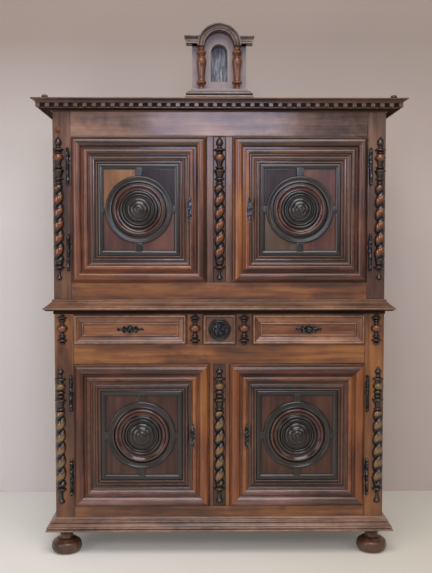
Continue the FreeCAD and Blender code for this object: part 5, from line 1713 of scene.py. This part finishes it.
@dataclass
class Niche:
    """The little arched niche on top, with its steps, colonnettes and pediment."""

    bench: Bench
    board_half: float = 122 * MM
    board_depth: float = 100 * MM
    recess_half_mm: float = 37.5
    recess_rise_mm: float = 39.0
    recess_height_mm: float = 168.0
    recess_depth_mm: float = 60.0
    arch_mm: float = 65.0
    arch_width_mm: float = 33.0
    lining: float = 4 * MM
    arm_share: float = 0.6
    ledge_mm: float = 14.0
    shaded_tread: float = 0.5
    arm_rise: float = 7 * MM
    # How far each tread is set in, its foot, its head, and the wear of its edges; a high wear paints pale
    # highlight lines on the nosings, and nought paints the sunk lines in shade.
    treads_mm: ClassVar[Sequence[Row]] = (
        (0, 0, 17, 0.8), (3, 17, 24, 0.6), (12, 24, 28, 0.0), (4, 28, 35, 0.9), (14, 35, 39, 0.0),
        (8, 39, 46, 0.3), (12, 46, 52, 0.9), (18, 52, 56, 0.0),
    )
    colonnette_mm: ClassVar[Sequence[Row]] = (
        (12, 0), (13, 2, 0.25), (13, 8), (10, 11), (10, 17), (15, 22), (20, 25, 0.3), (20, 35), (17, 39),
        (15, 46), (16, 60), (16.6, 78), (19, 98), (21, 108, 0.09), (21, 131), (18, 138), (14, 142),
        (14, 147), (19, 151), (20, 156, 0.3), (20, 166), (15, 170), (13, 177), (14, 181, 0.3), (13, 188),
        (12, 192), (12, 195),
    )
    ledge_rows_mm: ClassVar[Sequence[Row]] = (
        (0, 0), (4, 0), (6, 2, 0.2), (6, 11), (1, 12), (1, 15), (5, 16), (6, 17, -0.1), (11, 31), (8, 32),
        (8, 35), (14, 36), (14, 41), (12, 42), (0, 42),
    )

    def build(self) -> None:
        """Makes all the niche's pieces."""
        self.base()
        self.board()
        self.colonnettes()
        self.pediment()

    def base(self) -> None:
        """Two shallow steps with a sunk line under each tread."""
        low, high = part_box("niche_base")
        half, front, rise = high.x / MM, low.y / MM, low.z / MM
        stock = Stock()
        for inset, foot, head, edge_wear in self.treads_mm:
            dull = edge_wear < self.shaded_tread
            tread = planed(((inset - half) * MM, (front + inset) * MM, (rise + foot) * MM),
                           ((half - inset) * MM, high.y - (MM if dull else 0), (rise + head) * MM),
                           edge_mm=1.5, rub_mm=3.0, edge_wear=edge_wear)
            # A sunk tread takes one dark wear all over: painted shade in its sunk line.
            if dull:
                tread.wear = [edge_wear] * len(tread.wear)
            stock = stock.joined(self.bench.laid(tread))
        self.bench.piece("niche_steps", stock, GREYED_WALNUT, "case", Slot.NICHE, ["niche_base"])

    def arch(self, half: float, low: float, high: float, sides: int = 24) -> list[Flat]:
        """An upright opening with a half round head.

        Args:
            half: half its width, in metres.
            low: its foot.
            high: the top of its head.
            sides: how many short sides the head has.

        Returns:
            The outline, with its two feet first.
        """
        turns = [math.pi * side / sides for side in range(sides + 1)]
        head = [(half * math.cos(turn), high - half + half * math.sin(turn)) for turn in turns]
        return [(-half, low), (half, low)] + head

    def board(self) -> None:
        """The limed block behind the colonnettes, the darker recess in it and the plinth below."""
        low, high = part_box("niche_board")
        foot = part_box("niche_colonnettes")[0].z
        half, radius, front = self.board_half, self.arch_mm * MM, high.y - self.board_depth
        corner = high.z - foot - radius + self.arm_rise
        outline = [(-half, 0.0), (half, 0.0), (half, corner), (radius + MM, corner)]
        outline += self.arch(radius, 0.0, high.z - foot)[2:] + [(-radius - MM, corner), (-half, corner)]
        rise, recess, seam = self.recess_rise_mm * MM, self.recess_half_mm * MM, MM / 2
        top, depth = rise + self.recess_height_mm * MM, self.recess_depth_mm * MM
        cut = sawn([outline, self.arch(recess, rise, top)], depth)
        whole = sawn([outline], self.board_depth - depth)
        plinth = planed((low.x, low.y, low.z), (high.x, high.y, foot), edge_mm=1.5)
        stock = gathered((self.bench.laid(cut, at(0, front + depth, foot), Along.HEIGHT),
                          self.bench.laid(whole, at(0, high.y, foot), Along.HEIGHT), self.bench.laid(plinth)))
        self.bench.piece("niche_limed_block", stock, LIMED_BOARD, "case", Slot.PAINT, ["niche_board"],
                         sharp=30)
        # The recess lining's darker colour is partly painted shade.
        lining = sawn([self.arch(recess - seam, rise + seam, top - seam)], self.lining)
        stock = self.bench.laid(lining, at(0, front + depth, foot), Along.HEIGHT)
        self.bench.piece("niche_recess_back", stock, RECESS_SHADE_BOARD, "case", Slot.PAINT)

    def colonnettes(self) -> None:
        """Two free turned colonnettes."""
        low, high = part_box("niche_colonnettes")
        radius = (high.y - low.y) / 2
        stretch = (high.z + self.arm_rise - low.z) / (self.colonnette_mm[-1][1] * MM)
        turning = turned([(out, up * stretch) for out, up in traced(self.colonnette_mm, sides=6)])
        places = [at(side * (high.x - radius), low.y + radius, low.z) for side in (-1, 1)]
        stock = gathered(self.bench.laid(turning, place, Along.HEIGHT) for place in places)
        self.bench.piece("niche_turned_colonnettes", stock, COPPER_WALNUT, "case", Slot.NICHE,
                         ["niche_colonnettes"], sharp=55)

    def pediment(self) -> None:
        """Mouldings that run level over the colonnettes and arch over the niche."""
        low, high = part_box("niche_pediment")
        ledge = self.ledge_mm * MM
        front, side, back = low.y + ledge, high.x - ledge, high.y
        section = traced(self.ledge_rows_mm)
        tall = section[-1][1]
        lower = 1 - self.arm_rise / tall
        arm = [(out, self.arm_rise + up * lower) for out, up in section]
        near = (self.arch_mm + self.arch_width_mm * self.arm_share) * MM
        stock = self.bench.laid(self.arched(section, tall, front, back), at(0, 0, low.z))
        board_front = back - self.board_depth
        for hand in (-1, 1):
            outer = max(hand * near, hand * side)
            for reach, rear in ((self.board_half, back), (side, board_front)):
                left, right = sorted((hand * near, hand * reach))
                core = planed((left, front, low.z + self.arm_rise), (right, rear, low.z + tall - MM),
                              edge_wear=0.5)
                stock = stock.joined(self.bench.laid(core))
            face = run_of(arm, side - near, (1, 0) if hand > 0 else (0, 1), FINE_WEAR_MM)
            stock = stock.joined(self.bench.laid(face, at(outer, front, low.z, swung(2))))
            start, mitres = (front, (1, 0)) if hand < 0 else (board_front, (0, 1))
            run = run_of(arm, board_front - front, mitres, FINE_WEAR_MM)
            stock = stock.joined(self.bench.laid(run, at(hand * side, start, low.z, swung(-hand))))
        self.bench.piece("niche_arched_pediment", stock, GREYED_WALNUT, "case", Slot.NICHE,
                         ["niche_pediment"], sharp=30)

    def arched(self, section: Sequence[Flat], tall: float, front: float, back: float,
               sides: int = 40) -> Stock:
        """The same moulding bent over the niche, with a solid back.

        Args:
            section: how far out and how high each point of the moulding is.
            tall: the moulding's height, which becomes the arch's width.
            front: where the moulding's back lies.
            back: the arch's own back.
            sides: how many short sides the half round has.

        Returns:
            The arch, about the middle of its two feet.
        """
        rows = [(front - out, self.arch_mm * MM + up / tall * self.arch_width_mm * MM) for out, up in section]
        rows += [(back, (self.arch_mm + self.arch_width_mm) * MM), (back, self.arch_mm * MM)]
        points = []
        for spoke in range(sides + 1):
            angle = math.pi * spoke / sides
            points += [Vector((math.cos(angle) * radius, depth, math.sin(angle) * radius))
                       for depth, radius in rows]
        wear = worn_heights(section, 0, *FINE_WEAR_MM) + [0.5, 0.5]
        stock = Stock()
        stock.add(points, lofted(sides + 1, len(rows)) + caps(sides + 1, len(rows)), wear * (sides + 1))
        return stock


@dataclass
class Dividers:
    """The uprights between the drawers and the guides inside."""

    bench: Bench
    half_guide: float = 10 * MM
    guide_height: float = 60 * MM

    def build(self) -> None:
        """Makes the uprights and the guides as one piece."""
        low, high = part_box("drawer_dividers")
        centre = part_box("centre_drawer_front")[1].x + CLEARANCE
        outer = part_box("right_drawer_front")[0].x - CLEARANCE
        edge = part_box("right_drawer_front")[1].x + CLEARANCE
        frame_back, middle, top = low.y + FRAME_THICKNESS, (centre + outer) / 2, low.z + self.guide_height
        boxes = both_sides((centre, low.y, low.z), (outer, frame_back, high.z))
        boxes += both_sides((middle - self.half_guide, frame_back, low.z),
                            (middle + self.half_guide, high.y, top))
        boxes += both_sides((edge, frame_back, low.z), (high.x, high.y, top))
        self.bench.boards("divider_boards", boxes, CASE_WALNUT, "case", Slot.GOLDEN, ["drawer_dividers"])


@dataclass
class Ironwork:
    """Hinges, locks and pulls: CAD shapes under a forged finish, with turned and filed iron over them."""

    bench: Bench
    words: ClassVar[Sequence[str]] = ("_ironwork", "_bolt", "_lock", "hinge_pintles")
    stand: float = 10 * MM
    hinge_inset: float = 130 * MM
    hinge_offset: float = 12 * MM
    escutcheon_inset: float = 73 * MM
    escutcheon_back: float = 19.7 * MM
    plate_thickness: float = 3.2 * MM
    pull_plate: float = 3 * MM
    hole_mm: float = 4.0
    hole_rises_mm: ClassVar[Flat] = (22, -27)
    key_drop: float = 17 * MM
    sleeve_mm: ClassVar[Sequence[Row]] = (
        (7.2, 0.4), (7.6, 2), (7.2, 5), (7.2, 60), (7.8, 62), (7.2, 65), (5.2, 67), (4.8, 69),
        (6.2, 71, 0.25), (6.2, 77), (4, 80), (1.5, 82),
    )
    plate_mm: ClassVar[Sequence[Row]] = (
        (12.6, 0), (12.6, 7, -0.1), (9.2, 14), (8.8, 19, -0.1), (11.4, 26), (10.6, 30, 0.1), (4.2, 38),
        (3.8, 41, -0.1), (5.2, 46), (4.4, 50, 0.1), (0, 56),
    )
    pull_plate_mm: ClassVar[Sequence[Row]] = (
        (61, 0), (57, 4, 0.1), (49, 7), (44, 4, -0.14), (36, 6), (33, 12, 0.2), (24, 15), (19, 12, -0.14),
        (13, 11), (8, 16, 0.1), (0, 17.4),
    )
    knob_mm: ClassVar[Sequence[Row]] = (
        (9, 0), (9, 2), (6, 4, -0.1), (6, 9), (9, 12), (13, 14, 0.25), (13, 21), (9, 24.5, 0.1), (1, 26),
    )

    def build(self, nodes: dict[str, bpy.types.Object]) -> None:
        """Gives every iron node its finish and adds the finer pieces.

        Args:
            nodes: the frame's objects, by their node's name.
        """
        for name, item in nodes.items():
            if any(name.endswith(word) for word in self.words):
                item.data.materials.clear()
                item.data.materials.append(self.bench.material(IRON))
                log.info("%s keeps its CAD shape", name)
        for case in Case:
            for hand in (Side.LEFT, Side.RIGHT):
                self.sleeves(case, hand)
                self.escutcheon(case, hand)
        for side in (Side.LEFT, Side.RIGHT):
            self.pull(side)

    def sleeves(self, case: Case, hand: Side) -> None:
        """The round barrels and finials of one door's two hinges, half of each on the case.

        Args:
            case: which case the door is in.
            hand: which side the door is on.
        """
        door = "%s_%s_door" % (case, hand)
        low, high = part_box(door + "_frame")
        side, edge = (1, high.x) if hand is Side.RIGHT else (-1, low.x)
        axis = edge + side * (self.hinge_offset + CLEARANCE)
        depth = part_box(case + "_rails")[0].y - self.stand
        sleeve = turned(traced(self.sleeve_mm, sides=4), sides=24)
        upper, lower = Stock(), Stock()
        for level in (low.z + self.hinge_inset, high.z - self.hinge_inset):
            place = at(axis, depth, level)
            upper = upper.joined(self.bench.laid(sleeve, place, Along.HEIGHT))
            down = place @ Matrix.Rotation(math.pi, 4, "X")
            lower = lower.joined(self.bench.laid(sleeve, down, Along.HEIGHT))
        name = "%s_%s_hinge" % (case, hand)
        self.bench.piece(name + "_sockets", upper, IRON, door, Slot.IRON, sharp=50)
        self.bench.piece(name + "_pins", lower, IRON, "case", Slot.IRON, sharp=50)

    def escutcheon(self, case: Case, hand: Side) -> None:
        """A filed lock plate with rounded edges, pierced for the key and with two round holes.

        Args:
            case: which case the door is in.
            hand: which side the door is on.
        """
        door = "%s_%s_door" % (case, hand)
        low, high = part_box(door + "_frame")
        side, edge = (1, high.x) if hand is Side.LEFT else (-1, low.x)
        holes = [[(across * self.hole_mm * MM, rise * MM + up * self.hole_mm * MM)
                  for across, up in full_round(12)] for rise in self.hole_rises_mm]
        outlines = [four_ways(traced(self.plate_mm, sides=4)), *holes,
                    keyhole(self.hole_mm * MM, self.key_drop)]
        place = at(edge - side * self.escutcheon_inset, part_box(case + "_rails")[0].y - self.escutcheon_back,
                   (low.z + high.z) / 2)
        stock = self.bench.laid(sawn(outlines, self.plate_thickness, edge_mm=0.7), place, Along.HEIGHT)
        self.bench.piece(door + "_lock_plate", stock, IRON, door, Slot.IRON, sharp=40)

    def pull(self, side: Side) -> None:
        """A drawer's filed back plate and its round knob.

        Args:
            side: which of the outer drawers it is on.
        """
        name = side + "_drawer"
        low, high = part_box(name + "_pull")
        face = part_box("lower_rails")[0].y
        middle, level = (low.x + high.x) / 2, (low.z + high.z) / 2
        plate = sawn([four_ways(traced(self.pull_plate_mm, sides=4))], self.pull_plate, edge_mm=0.9)
        stock = self.bench.laid(plate, at(middle, face, level))
        knob = turned(traced(self.knob_mm, sides=5), sides=32)
        place = at(middle, face - self.pull_plate, level, facing_front())
        stock = stock.joined(self.bench.laid(knob, place))
        self.bench.piece(name + "_forged_pull", stock, IRON, name, Slot.IRON, [name + "_pull"], sharp=45)


@dataclass
class CentreBoss:
    """The turned ring round the centre drawer's keyhole."""

    bench: Bench
    plate_radius: float = 28 * MM
    flat: float = 9 * MM
    plate: float = 2 * MM
    wear_mm: ClassVar[Flat] = (5, 4)
    key_share: float = 0.17
    key_drop_share: float = 0.55
    rows_mm: ClassVar[Sequence[Row]] = (
        (50, 0), (50, 3, 0.4), (44, 10), (42, 7), (41, 7), (40, 13, 0.35), (36, 17), (35, 15), (34, 9),
        (1, 9),
    )

    def build(self) -> None:
        """Makes the boss and the lock plate in it."""
        low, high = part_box("centre_drawer_boss")
        middle, level = (low.x + high.x) / 2, (low.z + high.z) / 2
        boss = faced(traced(self.rows_mm, sides=6), 64, *self.wear_mm)
        stock = self.bench.laid(boss, at(middle, high.y, level, facing_front()))
        self.bench.piece("centre_drawer_turned_boss", stock, BLACKENED_WALNUT, "centre_drawer", Slot.TURNED,
                         ["centre_drawer_boss"], sharp=40)
        radius, front = self.plate_radius, min(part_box("centre_drawer_lock")[0].y, high.y - self.flat)
        disc = [(across * radius, up * radius) for across, up in full_round(40)]
        opening = keyhole(radius * self.key_share, radius * self.key_drop_share)
        plate = sawn([disc, opening], self.plate, edge_mm=0.7)
        stock = self.bench.laid(plate, at(middle, front, level), Along.HEIGHT)
        self.bench.piece("centre_drawer_lock_plate", stock, IRON, "centre_drawer", Slot.IRON, sharp=40)


@dataclass(frozen=True)
class Lamp:
    """A soft rectangular lamp of the studio, in metres and watts."""

    name: str
    place: Corner
    target: Corner
    width: float
    height: float
    watts: float
    colour: str

    def build(self) -> None:
        """Hangs the lamp and turns it to its target."""
        light = bpy.data.lights.new(self.name, "AREA")
        light.shape = "RECTANGLE"
        light.size, light.size_y = self.width, self.height
        light.energy = self.watts
        light.color = linear(self.colour)[:3]
        item = bpy.data.objects.new(self.name, light)
        item.location = self.place
        item.rotation_euler = (Vector(self.target) - Vector(self.place)).to_track_quat("-Z", "Y").to_euler()
        bpy.context.scene.collection.objects.link(item)


# A broad window from the left, a far one from the right, a soft light overhead and a cold one
# on the niche.
LAMPS = (
    Lamp("window_light", (-2.9, -3.0, 1.6), (0.0, -0.2, 1.15), 1.9, 1.9, 32.0, "#fff7ee"),
    Lamp("far_window_light", (2.6, -3.4, 2.5), (0.1, -0.2, 1.3), 1.6, 1.6, 22.0, "#fff4e6"),
    Lamp("overhead_light", (0.0, -2.5, 4.2), (0.0, -0.2, 0.9), 2.6, 2.2, 78.0, "#fff9f2"),
    Lamp("gallery_light", (0.06, -4.1, 2.42), (0.06, -0.2, 2.2), 1.28, 1.0, 31.0, "#d0dcff"),
)


@dataclass
class Studio:
    """The floor, the wall, the lamps and the camera."""

    bench: Bench
    lens_mm: float = 51.5
    eye_height: float = 1.383
    eye_distance: float = 3.617
    eye_across: float = -0.057
    pan_degrees: float = 0.655
    tilt_degrees: float = 2.91
    wall_gap: float = 0.34
    spread: float = 6.0
    sensor_mm: float = 36.0
    air_colour: str = "#d9d0c8"
    air_strength: float = 0.36

    def build(self) -> None:
        """Makes the studio round the cupboard."""
        self.floor_and_wall()
        self.lamps()
        self.camera()

    def floor_and_wall(self) -> None:
        """A plain pale floor and a plain wall that can be looked through from behind."""
        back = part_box("upper_stiles")[1].y + self.wall_gap
        far = self.spread
        planes = (
            ("floor", ((-far, -far, 0), (far, -far, 0), (far, far, 0), (-far, far, 0)), FLOOR_PAINT),
            ("wall", ((-far, back, 0), (far, back, 0), (far, back, far), (-far, back, far)), WALL_PAINT),
        )
        for name, corners, paint in planes:
            mesh = bpy.data.meshes.new(name)
            mesh.from_pydata(corners, [], [(0, 1, 2, 3)])
            mesh.materials.append(self.bench.material(paint))
            item = bpy.data.objects.new(name, mesh)
            bpy.context.scene.collection.objects.link(item)

    def lamps(self) -> None:
        """The four lamps and an even sky."""
        for lamp in LAMPS:
            lamp.build()
        world = bpy.data.worlds.new("studio_air")
        bpy.context.scene.world = world
        world.use_nodes = True
        tree = world.node_tree
        tree.nodes.clear()
        air = add_node(tree, "Background", {"Color": linear(self.air_colour),
                                            "Strength": self.air_strength})
        add_node(tree, "OutputWorld", {"Surface": air.outputs[0]})

    def camera(self) -> None:
        """The camera stands where the photograph was taken from."""
        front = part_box("upper_rails")[0].y
        lens = bpy.data.cameras.new("camera")
        lens.lens = self.lens_mm
        lens.sensor_width = self.sensor_mm
        item = bpy.data.objects.new("camera", lens)
        item.location = (self.eye_across, front - self.eye_distance, self.eye_height)
        item.rotation_euler = (math.radians(90 - self.tilt_degrees), 0, math.radians(-self.pan_degrees))
        bpy.context.scene.collection.objects.link(item)
        bpy.context.scene.camera = item


def main() -> None:
    """Builds the scene in the order in which the cupboard was joined."""
    logging.basicConfig(level=logging.INFO, format="%(name)s: %(message)s")
    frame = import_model()
    bench = Bench()
    for case in Case:
        Carcass(case, bench).build()
    Dividers(bench).build()
    base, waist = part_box("base_moulding")[0].z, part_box("waist_moulding")[0].z
    # The base moulding's finish carries a painted sheen.
    Girdle("base_moulding", bench, BASE_SHEEN_WALNUT, BASE_MM, base, ["base_moulding"]).build()
    Girdle("waist_moulding", bench, WAIST_WALNUT, WAIST_MM, waist, ["waist_moulding"]).build()
    # A strip of painted shadow under the waist moulding.
    Girdle("waist_painted_shadow", bench, SHADOW_WALNUT, UNDERSIDE_SHADOW_MM, waist).build()
    Cornice(bench).build()
    for case in Case:
        for hand in (Side.LEFT, Side.RIGHT):
            Door(case, hand, bench).build()
        HalfColumns(case, bench).build()
    for side in Side:
        Drawer(side, bench).build()
    CentreBoss(bench).build()
    Spindles(bench).build()
    Feet(bench).build()
    Niche(bench).build()
    Ironwork(bench).build(frame["nodes"])
    Studio(bench).build()
    bpy.context.scene.view_settings.view_transform = "Standard"
    bpy.context.view_layer.update()


if __name__ == "__main__":
    main()
